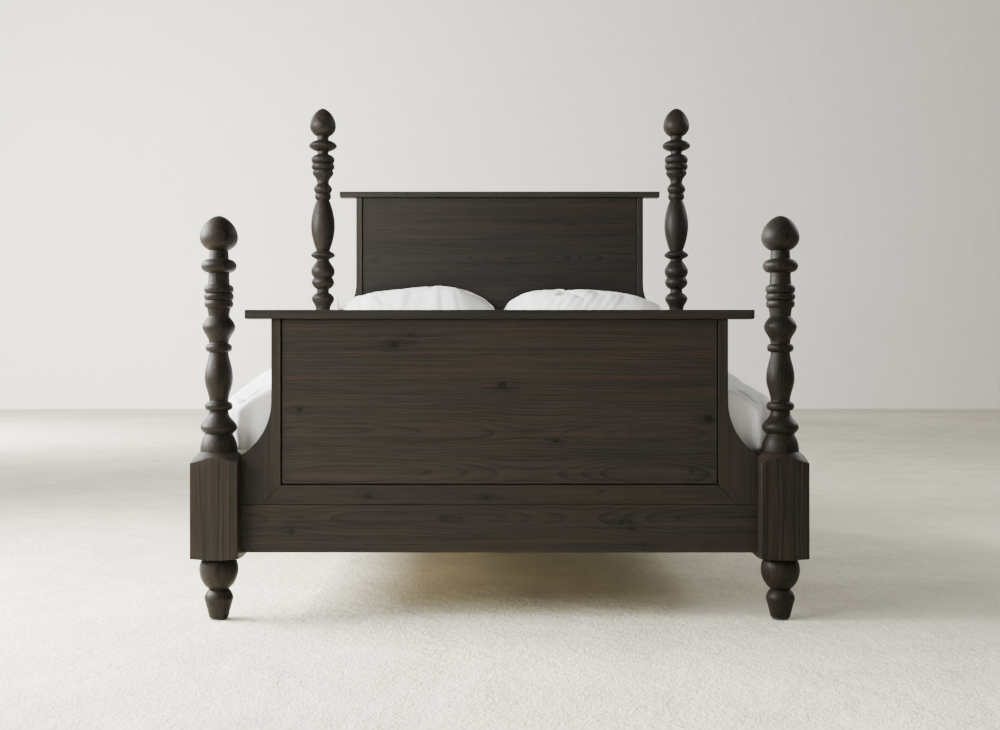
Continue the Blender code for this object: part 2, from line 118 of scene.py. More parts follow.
def rprism(name, outline, lo, hi, axis, mat, bevel=0.0015, segments=2, angle=25):
    bm = bmesh.new()
    ends = []
    for t in (lo, hi):
        ends.append([bm.verts.new((a, t, b) if axis == "y" else (t, a, b)) for a, b in outline])
    n = len(outline)
    for i in range(n):
        j = (i + 1) % n
        bm.faces.new((ends[0][i], ends[0][j], ends[1][j], ends[1][i]))
    bm.faces.new(ends[0])
    bm.faces.new(list(reversed(ends[1])))
    bmesh.ops.recalc_face_normals(bm, faces=bm.faces)
    bevel_all(bm, bevel, segments, angle)
    return finish_bm(name, bm, mat, weighted=True)


def piece(ob, body, slot, *nodes):
    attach(ob, body)
    if nodes:
        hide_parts(*nodes)
    return ob


# ------------------------------------------------------------------ node helper
class Tree:
    def __init__(self, name):
        self.mat = bpy.data.materials.new(name)
        self.mat.use_nodes = True
        self.nt = self.mat.node_tree
        self.nt.nodes.clear()
        self.out = self.nt.nodes.new("ShaderNodeOutputMaterial")
        self.bsdf = self.nt.nodes.new("ShaderNodeBsdfPrincipled")
        self.nt.links.new(self.bsdf.outputs[0], self.out.inputs[0])

    def link(self, a, b):
        self.nt.links.new(a, b)

    def put(self, socket, value):
        if isinstance(value, bpy.types.NodeSocket):
            self.link(value, socket)
        else:
            socket.default_value = value

    def math(self, op, a, b=None, c=None, clamp=False):
        n = self.nt.nodes.new("ShaderNodeMath")
        n.operation = op
        n.use_clamp = clamp
        self.put(n.inputs[0], a)
        if b is not None:
            self.put(n.inputs[1], b)
        if c is not None:
            self.put(n.inputs[2], c)
        return n.outputs[0]

    def coords(self, kind="Object"):
        n = self.nt.nodes.new("ShaderNodeTexCoord")
        return n.outputs[kind]

    def attr(self, name):
        n = self.nt.nodes.new("ShaderNodeAttribute")
        n.attribute_name = name
        return n

    def uv(self, name="UVMap"):
        n = self.nt.nodes.new("ShaderNodeUVMap")
        n.uv_map = name
        return n.outputs[0]

    def sep(self, v):
        n = self.nt.nodes.new("ShaderNodeSeparateXYZ")
        self.put(n.inputs[0], v)
        return n.outputs

    def com(self, x, y, z):
        n = self.nt.nodes.new("ShaderNodeCombineXYZ")
        for s, v in zip(n.inputs, (x, y, z)):
            self.put(s, v)
        return n.outputs[0]

    def noise(self, vec, scale=1.0, detail=2.0, rough=0.5, w=0.0, dist=0.0):
        n = self.nt.nodes.new("ShaderNodeTexNoise")
        n.noise_dimensions = "4D"
        self.put(n.inputs["Vector"], vec)
        n.inputs["W"].default_value = w
        n.inputs["Scale"].default_value = scale
        n.inputs["Detail"].default_value = detail
        n.inputs["Roughness"].default_value = rough
        n.inputs["Distortion"].default_value = dist
        return n.outputs["Fac"]

    def remap(self, v, a, b, c=0.0, d=1.0, smooth=False):
        n = self.nt.nodes.new("ShaderNodeMapRange")
        n.interpolation_type = "SMOOTHSTEP" if smooth else "LINEAR"
        self.put(n.inputs["Value"], v)
        for k, x in zip(("From Min", "From Max", "To Min", "To Max"), (a, b, c, d)):
            self.put(n.inputs[k], x)
        return n.outputs["Result"]

    def ramp(self, v, stops, interp="LINEAR"):
        n = self.nt.nodes.new("ShaderNodeValToRGB")
        n.color_ramp.interpolation = interp
        el = n.color_ramp.elements
        while len(el) > 1:
            el.remove(el[-1])
        el[0].position = stops[0][0]
        el[0].color = (*stops[0][1], 1) if hasattr(stops[0][1], "__len__") else (stops[0][1],) * 3 + (1,)
        for p, c in stops[1:]:
            e = el.new(p)
            e.color = (*c, 1) if hasattr(c, "__len__") else (c, c, c, 1)
        self.put(n.inputs[0], v)
        return n.outputs[0]

    def mix(self, f, a, b, kind="MIX"):
        n = self.nt.nodes.new("ShaderNodeMix")
        n.data_type = "RGBA"
        n.blend_type = kind
        self.put(n.inputs[0], f)
        for s, v in ((n.inputs[6], a), (n.inputs[7], b)):
            if isinstance(v, bpy.types.NodeSocket):
                self.link(v, s)
            else:
                s.default_value = (*v, 1) if hasattr(v, "__len__") else (v, v, v, 1)
        return n.outputs[2]

    def bump(self, height, distance=0.001, strength=1.0, normal=None):
        n = self.nt.nodes.new("ShaderNodeBump")
        n.inputs["Strength"].default_value = strength
        n.inputs["Distance"].default_value = distance
        self.put(n.inputs["Height"], height)
        if normal is not None:
            self.link(normal, n.inputs["Normal"])
        return n.outputs[0]

    def rgb(self, socket, value):
        if isinstance(value, bpy.types.NodeSocket):
            self.link(value, socket)
        else:
            socket.default_value = (*value, 1)


# ------------------------------------------------------------------ stained wood
TONE = 0.66
DARK = (0.0085, 0.0070, 0.0056)
MID = (0.0212, 0.0186, 0.0155)
LIGHT = (0.0370, 0.0308, 0.0243)
RED = (0.0415, 0.0250, 0.0165)


def dark_wood(name, grain="x", seed=1.0, v0=0.30, w0=0.05, wamp=0.03, wave=0.022, spacing=0.0062,
              knots=(), tone=1.0, ufreq=2.2, zones=None, turned_shade=None, gloss=0.17):
    """Stained knotty timber as a solid texture. u runs along the grain, v across the board, w through it.
    v0, w0: where the heart of the log lies; wamp: how much it wanders, which draws the pointed arches."""
    t = Tree(name)
    x, y, z = t.sep(t.coords())
    u, v, w = {"x": (x, z, y), "z": (z, x, y), "y": (y, x, z)}[grain]
    rnd = random.Random(int(seed * 977))
    off = rnd.uniform(-5, 5)
    uo = t.math("ADD", u, off)

    # each knot pushes the rings aside and has rings of its own
    push, knot_mask, knot_core, knot_ring = None, None, None, None
    for ku, kv, kr in knots:
        du = t.math("SUBTRACT", u, ku)
        dv = t.math("SUBTRACT", v, kv)
        wob = t.noise(t.com(t.math("MULTIPLY", u, 60), t.math("MULTIPLY", v, 60), 0.0), 1.0, 2, 0.5, seed + ku)
        e = t.math("SQRT", t.math("ADD", t.math("POWER", t.math("MULTIPLY", du, 0.80), 2.0), t.math("POWER", dv, 2.0)))
        e = t.math("ADD", e, t.math("MULTIPLY", t.math("SUBTRACT", wob, 0.5), kr * 0.7))
        core = t.remap(e, kr * 0.86, kr * 1.10, 1.0, 0.0, True)
        halo_e = t.math("SQRT", t.math("ADD", t.math("POWER", t.math("MULTIPLY", du, 0.38), 2.0), t.math("POWER", dv, 2.0)))
        halo = t.remap(halo_e, kr * 0.6, kr * 3.2, 1.0, 0.0, True)
        # rings bow away above and below the knot
        side = t.math("MULTIPLY", t.remap(dv, -kr * 2.5, kr * 2.5, -1.0, 1.0, True), halo)
        side = t.math("MULTIPLY", side, kr * 1.1)
        ring = t.math("FRACT", t.math("DIVIDE", e, kr * 0.36))
        push = side if push is None else t.math("ADD", push, side)
        knot_mask = halo if knot_mask is None else t.math("MAXIMUM", knot_mask, halo)
        kc = t.math("MULTIPLY", core, t.remap(ring, 0.0, 1.0, 0.72, 1.0))
        knot_core = kc if knot_core is None else t.math("MAXIMUM", knot_core, kc)

    if push is not None:
        vv = t.math("SUBTRACT", v, push)
    else:
        vv = v

    low = t.noise(t.com(t.math("MULTIPLY", uo, 1.5), t.math("MULTIPLY", vv, 5.0), t.math("MULTIPLY", w, 5.0)), 1.0, 2.0, 0.5, seed)
    low2 = t.noise(t.com(t.math("MULTIPLY", uo, 7.0), t.math("MULTIPLY", vv, 22.0), t.math("MULTIPLY", w, 22.0)), 1.0, 2.0, 0.5, seed + 3)
    shift = t.math("ADD", t.math("MULTIPLY", t.math("SUBTRACT", low, 0.5), wave * 2.0), t.math("MULTIPLY", t.math("SUBTRACT", low2, 0.5), 0.0045))
    heart = t.noise(t.com(t.math("MULTIPLY", uo, ufreq), 0.0, 0.0), 1.0, 1.0, 0.5, seed + 7)
    heart = t.math("ADD", t.math("MULTIPLY", t.math("SUBTRACT", heart, 0.5), wamp * 2.6), w0)

    def rings(v_centre, w_off=0.0, space=spacing):
        a = t.math("ADD", t.math("SUBTRACT", vv, v_centre), shift)
        b = t.math("ADD", t.math("ADD", heart, w_off), w)
        d = t.math("SQRT", t.math("ADD", t.math("MULTIPLY", a, a), t.math("MULTIPLY", b, b)))
        return t.math("DIVIDE", d, space)

    phase = rings(v0)
    tone_zone = None
    if zones:
        for z_split, v_c, w_off, shade in zones:
            other = rings(v_c, w_off)
            pick = t.math("LESS_THAN", v, z_split)
            phase = t.math("ADD", t.math("MULTIPLY", other, pick), t.math("MULTIPLY", phase, t.math("SUBTRACT", 1.0, pick)))
            zz = t.math("MULTIPLY", pick, shade)
            tone_zone = zz if tone_zone is None else t.math("ADD", tone_zone, zz)
    uneven = t.noise(t.com(t.math("MULTIPLY", phase, 0.35), t.math("MULTIPLY", uo, 0.4), 0.0), 1.0, 1.0, 0.5, seed + 11)
    phase = t.math("ADD", phase, t.math("MULTIPLY", uneven, 2.2))
    saw = t.math("FRACT", phase)
    ring = t.ramp(saw, ((0.0, 0.08), (0.10, 0.0), (0.50, 0.10), (0.74, 0.45), (0.90, 1.0), (0.95, 1.0), (1.0, 0.08)))
    ring_fade = t.noise(t.com(t.math("MULTIPLY", uo, 2.5), t.math("MULTIPLY", vv, 14.0), t.math("MULTIPLY", w, 14.0)), 1.0, 2.0, 0.6, seed + 17)
    ring_amt = t.remap(ring_fade, 0.30, 0.70, 0.35, 1.0)

    streak = t.noise(t.com(t.math("MULTIPLY", uo, 1.6), t.math("MULTIPLY", vv, 94.0), t.math("MULTIPLY", w, 94.0)), 1.0, 4.0, 0.72, seed + 23)
    broad = t.noise(t.com(t.math("MULTIPLY", uo, 0.9), t.math("MULTIPLY", vv, 9.0), t.math("MULTIPLY", w, 9.0)), 1.0, 2.0, 0.5, seed + 29)
    fibre = t.noise(t.com(t.math("MULTIPLY", uo, 11.0), t.math("MULTIPLY", vv, 430.0), t.math("MULTIPLY", w, 430.0)), 1.0, 3.0, 0.65, seed + 31)
    pore = t.noise(t.com(t.math("MULTIPLY", uo, 48.0), t.math("MULTIPLY", vv, 1500.0), t.math("MULTIPLY", w, 1500.0)), 1.0, 1.0, 0.5, seed + 37)
    pore = t.remap(pore, 0.60, 0.72, 0.0, 1.0)

    light = t.math("ADD", t.math("MULTIPLY", t.remap(streak, 0.28, 0.72), 0.54), t.math("MULTIPLY", t.remap(broad, 0.3, 0.7), 0.20))
    light = t.math("ADD", light, t.math("MULTIPLY", t.remap(fibre, 0.3, 0.7), 0.24))
    if tone_zone is not None:
        light = t.math("ADD", light, tone_zone)
    light = t.math("SUBTRACT", light, t.math("MULTIPLY", t.math("MULTIPLY", ring, ring_amt), 0.46))
    light = t.math("SUBTRACT", light, t.math("MULTIPLY", pore, 0.16))
    if knot_mask is not None:
        light = t.math("SUBTRACT", light, t.math("MULTIPLY", knot_mask, 0.16))
    light = t.math("MULTIPLY_ADD", light, 1.36, -0.115, clamp=True)
    s = tone * TONE
    col = t.ramp(t.math("ADD", light, 0.08, clamp=True),
                 ((0.0, tuple(c * s for c in DARK)), (0.50, tuple(c * s for c in MID)), (1.0, tuple(c * s for c in LIGHT))))
    # the redder heartwood streaks
    warm = t.noise(t.com(t.math("MULTIPLY", uo, 1.9), t.math("MULTIPLY", vv, 72.0), t.math("MULTIPLY", w, 72.0)), 1.0, 3.0, 0.68, seed + 41)
    warm2 = t.noise(t.com(t.math("MULTIPLY", uo, 0.7), t.math("MULTIPLY", vv, 5.0), t.math("MULTIPLY", w, 5.0)), 1.0, 1.0, 0.5, seed + 43)
    warm = t.math("MULTIPLY", t.remap(warm, 0.44, 0.62, 0.0, 1.0, True), t.remap(warm2, 0.35, 0.62, 0.30, 1.0))
    warm = t.math("MULTIPLY", warm, t.remap(light, 0.10, 0.45, 0.15, 0.75))
    col = t.mix(warm, col, tuple(c * s for c in RED))
    if knot_core is not None:
        col = t.mix(t.math("MULTIPLY", knot_core, 0.92), col, (0.0030, 0.0024, 0.0019))
    if turned_shade:
        # painted shade: the turned lengths are darkened towards black for the shade that falls on them, and the planed
        # block between them keeps its colour
        z_lo, z_hi, painted_shade = turned_shade
        block = t.math("MULTIPLY", t.math("GREATER_THAN", z, z_lo), t.math("LESS_THAN", z, z_hi))
        col = t.mix(t.math("MULTIPLY", t.math("SUBTRACT", 1.0, block), painted_shade), col, (0.0, 0.0, 0.0))
    t.rgb(t.bsdf.inputs["Base Color"], col)
    rough = t.math("ADD", t.math("MULTIPLY", fibre, 0.16), t.math("MULTIPLY", ring, 0.04))
    rough = t.math("ADD", rough, 0.36)
    t.put(t.bsdf.inputs["Roughness"], rough)
    height = t.math("ADD", t.math("MULTIPLY", fibre, 0.5), t.math("MULTIPLY", ring, 0.35))
    height = t.math("SUBTRACT", height, t.math("MULTIPLY", pore, 0.55))
    if knot_core is not None:
        height = t.math("SUBTRACT", height, t.math("MULTIPLY", knot_core, 0.8))
    t.link(t.bump(height, 0.00030, 0.8), t.bsdf.inputs["Normal"])
    t.bsdf.inputs["Specular IOR Level"].default_value = gloss
    return t.mat


# ------------------------------------------------------------------ turned profiles, (radius, height) in metres
def bead(z0, zc, z1, r0, rc, r1, n=20):
    pts = []
    for i in range(n + 1):
        t = -math.pi / 2 + math.pi * i / n
        zs, rs = (zc - z0, r0) if t < 0 else (z1 - zc, r1)
        pts.append((rs + (rc - rs) * math.cos(t), zc + zs * math.sin(t)))
    return pts


def swell(z0, zc, z1, r0, rc, r1, p0=2.0, p1=2.0, n=24):
    """cos**p flanks; points are bunched where a flank with p below 1 turns over."""
    pts = []
    for i in range(n + 1):
        s = -1.0 + 2.0 * i / n
        p = p0 if s < 0 else p1
        u = s if p >= 1 else math.copysign(1 - (1 - abs(s)) ** 1.7, s)
        zs, rs = (zc - z0, r0) if u < 0 else (z1 - zc, r1)
        pts.append((rs + (rc - rs) * max(math.cos(math.pi / 2 * u), 0.0) ** p, zc + zs * u))
    return pts


def line(*pts, n=4):
    out = []
    for (ra, za), (rb, zb) in zip(pts, pts[1:]):
        out += [(ra + (rb - ra) * i / n, za + (zb - za) * i / n) for i in range(n)]
    return out + [pts[-1]]


def egg(z_seam, zc, z1, rc, drop, p=1.95, q=0.6, n=30):
    """Egg of radius rc at zc: lower half an ellipse of half height drop cut at z_seam, upper half drawn to a soft point at z1."""
    pts = []
    a0 = math.asin(min(1.0, (zc - z_seam) / drop))
    for i in range(n // 2):
        a = a0 * (1 - i / (n // 2))
        pts.append((rc * math.cos(a), zc - drop * math.sin(a)))
    for i in range(n + 1):
        u = 1 - (1 - i / n) ** 1.6
        pts.append((rc * max(1 - u ** p, 0.0) ** q, zc + (z1 - zc) * u))
    pts[-1] = (0.0008, z1)
    return pts


def join(*runs, tol=0.0003):
    out = []
    for run in runs:
        for r, z in run:
            if not out or math.hypot(out[-1][0] - r, out[-1][1] - z) > tol:
                out.append((r, z))
    return out


def foot_profile():
    base = GLIDE_TOP + 0.0003
    return join(
        line((0.0255, base), (0.0275, base + 0.0003), (0.0290, base + 0.0022), n=3),
        [(0.0292 + 0.0132 * (i / 16) ** 1.10, 0.0095 + 0.0525 * i / 16) for i in range(16)],
        swell(0.0615, 0.0620, 0.0885, 0.0424, 0.0424, 0.0292, 1.0, 0.78, 24),
        line((0.0292, 0.0885), (0.0292, 0.0895), n=2),
        [(0.0568 * math.sqrt(1 - ((0.149 - (0.149 - 0.0900) * (1 - i / 20) - 0.149) / 0.0682) ** 2), 0.149 - 0.0590 * (1 - i / 20)) for i in range(20)],
        [(0.0568 * math.sqrt(1 - (0.0345 * i / 12 / 0.0585) ** 2), 0.149 + 0.0345 * i / 12) for i in range(13)],
    )


def foot_upper():
    return join(
        [(0.0538 - 0.0138 * (i / 20) ** 2.15, 0.4955 + 0.0515 * i / 20) for i in range(21)],
        swell(0.5475, 0.5672, 0.6130, 0.0400, 0.0532, 0.0285, 1.05, 2.4, 40),
        line((0.0284, 0.6135), (0.0284, 0.6160), n=2),
        bead(0.6165, 0.6295, 0.6430, 0.0290, 0.0402, 0.0285),
        swell(0.6440, 0.7130, 0.7885, 0.0278, 0.0411, 0.0278, 1.75, 1.5, 40),
        bead(0.7893, 0.8012, 0.8138, 0.0285, 0.0385, 0.0290),
        swell(0.8148, 0.8630, 0.8945, 0.0286, 0.0474, 0.0305, 2.3, 1.0, 40),
        line((0.0306, 0.8965), (0.0313, 0.9040), (0.0330, 0.9130), (0.0340, 0.9185), n=4),
        bead(0.9195, 0.9312, 0.9420, 0.0345, 0.0417, 0.0368),
        bead(0.9420, 0.9528, 0.9632, 0.0368, 0.0431, 0.0368),
        bead(0.9632, 0.9748, 0.9880, 0.0368, 0.0431, 0.0325),
        line((0.0318, 0.9890), (0.0312, 0.9960), (0.0301, 1.0120), (0.0303, 1.0225), n=5),
        bead(1.0240, 1.0435, 1.0635, 0.0305, 0.0512, 0.0298, 28),
        line((0.0293, 1.0645), (0.0290, 1.0660), n=2),
    )


def head_upper():
    return join(
        [(0.0538 - 0.0190 * (i / 14) ** 0.62, 0.9890 + 0.0190 * i / 14) for i in range(15)],
        swell(1.0085, 1.0620, 1.0905, 0.0330, 0.0517, 0.0277, 2.9, 0.78, 40),
        line((0.0277, 1.0915), (0.0280, 1.1060), n=4),
        swell(1.1070, 1.1380, 1.1615, 0.0285, 0.0520, 0.0420, 0.8, 0.85, 28),
        swell(1.1615, 1.1900, 1.2430, 0.0420, 0.0540, 0.0283, 0.8, 1.27, 36),
        line((0.0285, 1.2440), (0.0288, 1.2460), n=2),
        swell(1.2470, 1.2663, 1.2880, 0.0290, 0.0554, 0.0315, 1.0, 1.05, 28),
        swell(1.2890, 1.4030, 1.5250, 0.0312, 0.0548, 0.0287, 0.96, 0.85, 60),
        bead(1.5262, 1.5430, 1.5560, 0.0287, 0.0375, 0.0312, 20),
        swell(1.5560, 1.5770, 1.6020, 0.0312, 0.0422, 0.0274, 0.7, 1.05, 28),
        swell(1.6035, 1.6530, 1.6670, 0.0274, 0.0480, 0.0425, 3.4, 0.8, 36),
        bead(1.6670, 1.6825, 1.6980, 0.0425, 0.0532, 0.0440, 20),
        bead(1.6980, 1.7145, 1.7385, 0.0440, 0.0536, 0.0265, 24),
        line((0.0262, 1.7400), (0.0259, 1.7520), n=4),
        swell(1.7545, 1.7795, 1.8058, 0.0265, 0.0641, 0.0268, 0.78, 0.65, 36),
        line((0.0266, 1.8068), (0.0264, 1.8085), n=2),
    )


FINIAL_FOOT = join(line((0.0288, 1.0664), (0.0280, 1.0790), (0.0276, 1.0868), n=5), egg(1.0888, 1.1270, 1.1925, 0.0549, 0.0437))
FINIAL_HEAD = join(line((0.0262, 1.8089), (0.0264, 1.8130), (0.0276, 1.8215), n=5), egg(1.8247, 1.8720, 1.9568, 0.0599, 0.0535, 1.90, 0.64))

# angles bunched at the corners of the square, shared by every ring of a post
HALF = [0, 5, 10, 15, 20, 25, 30, 34.5, 38.5, 41.5, 43.2, 43.9, 44.4]
QUARTER = HALF + [45.0] + [90 - a for a in reversed(HALF[1:])]
ANGLES = [math.radians(90 * k + a) for k in range(4) for a in QUARTER]
SEG = len(ANGLES)


def square_r(a, half=BLOCK, rho=0.0026):
    a = (a + math.pi / 4) % (math.pi / 2) - math.pi / 4
    a = abs(a)
    if math.tan(a) * half <= half - rho:
        return half / math.cos(a)
    c = half - rho
    s = math.cos(a) + math.sin(a)
    return c * s + math.sqrt(max(c * c * s * s - (2 * c * c - rho * rho), 0.0))


def pommel(top):
    def f(r):
        t = max(0.0, (r - 0.0538) / 0.0452)
        return top - 0.029 * math.sin(math.pi / 2 * min(t, 1.0) ** 1.15)
    return f


def skin(rings, close_bottom=True, close_top=True):
    bm = bmesh.new()
    loops = [[bm.verts.new(p) for p in ring] for ring in rings]
    n = len(loops[0])
    for a, b in zip(loops, loops[1:]):
        for i in range(n):
            j = (i + 1) % n
            bm.faces.new((a[i], a[j], b[j], b[i]))
    if close_bottom:
        bm.faces.new(list(reversed(loops[0])))
    if close_top:
        bm.faces.new(loops[-1])
    return bm


def ring_at(r, z):
    return [(r * math.cos(a), r * math.sin(a), z) for a in ANGLES]


def turned_post(name, upper, top, x, y, mat, node):
    sh = pommel(top)
    radii = [square_r(a) for a in ANGLES]

    def sq(f, inset=0.0):
        return [((r - inset) * math.cos(a), (r - inset) * math.sin(a), f(r)) for r, a in zip(radii, ANGLES)]

    under = lambda r: 0.183 + 0.004 * max(0.0, (r - BLOCK) / 0.029)
    rings = [ring_at(r, z) for r, z in foot_profile()]
    rings.append(ring_at(0.058, 0.1831))
    rings.append(sq(lambda r: under(r), 0.0016))
    rings.append(sq(lambda r: under(r) + 0.0005, 0.0005))
    rings.append(sq(lambda r: under(r) + 0.0018))
    z_lo, z_hi = 0.1875, top - 0.0335
    for i in range(1, 6):
        rings.append(sq(lambda r, i=i: z_lo + (z_hi - z_lo) * i / 6))
    rings.append(sq(lambda r: sh(r) - 0.0016))
    rings.append(sq(lambda r: sh(r - 0.0006) - 0.0004, 0.0006))
    rings.append(sq(lambda r: sh(r - 0.0018), 0.0018))
    for k in (0.25, 0.5, 0.75):
        ring = []
        for r, a in zip(radii, ANGLES):
            rr = (r - 0.0018) * (1 - k) + 0.0600 * k
            ring.append((rr * math.cos(a), rr * math.sin(a), sh(rr)))
        rings.append(ring)
    for r in (0.0600, 0.0570, 0.0548):
        rings.append(ring_at(r, sh(r)))
    rings += [ring_at(r, z) for r, z in upper]
    ob = finish_bm(name, skin(rings), mat, angle=38)
    ob.location = (x, y, 0)
    # the mesh is kept in the frame's own coordinates, so the timber's figure is cut through the whole blank
    ob.data.transform(ob.matrix_basis)
    ob.matrix_basis = Matrix.Identity(4)
    return piece(ob, "bed_frame", "dark_wood", node)


def turned(name, prof, x, y, mat, body, slot, node, seg=72):
    rings = [[(x + r * math.cos(2 * math.pi * i / seg), y + r * math.sin(2 * math.pi * i / seg), z) for i in range(seg)] for r, z in prof]
    ob = finish_bm(name, skin(rings), mat, angle=40)
    return piece(ob, body, slot, node)


def fuller(prof, k, r0=0.0):
    return [(r0 + (r - r0) * k if r > r0 else r, z) for r, z in prof]


for e, sy in ENDS:
    upper = fuller(foot_upper(), 1.010) if sy < 0 else fuller(head_upper(), 1.022)
    top = 0.4955 if sy < 0 else 0.9890
    fin = fuller(FINIAL_FOOT, 1.012) if sy < 0 else fuller(FINIAL_HEAD, 1.022)
    for s, sx in SIDES:
        x, y = sx * POST_X, sy * POST_Y
        seed = 3.1 + (2.3 if sx > 0 else 0) + (5.7 if sy > 0 else 0)
        # the turned lengths of each post get painted shade, mixed 0.34 towards black
        mat = dark_wood(f"wood_post_{e}_{s}", "z", seed, v0=x + 0.012 * sx, w0=-y + 0.030, wamp=0.016, wave=0.012, spacing=0.0078, ufreq=1.6,
                        tone=1.06, turned_shade=(0.1832, top - 0.004, 0.34), gloss=0.11)
        turned_post(f"turned_post_{e}_{s}", upper, top, x, y, mat, f"post_{e}_{s}")
        fmat = dark_wood(f"wood_finial_{e}_{s}", "z", seed + 0.7, v0=x - 0.010 * sx, w0=-y + 0.012, wamp=0.012, wave=0.008, spacing=0.0070, ufreq=3.0, tone=0.82 if sy < 0 else 0.90,
                         gloss=0.11)
        turned(f"turned_finial_{e}_{s}", fin, x, y, fmat, "bed_frame", "dark_wood", f"finial_{e}_{s}")

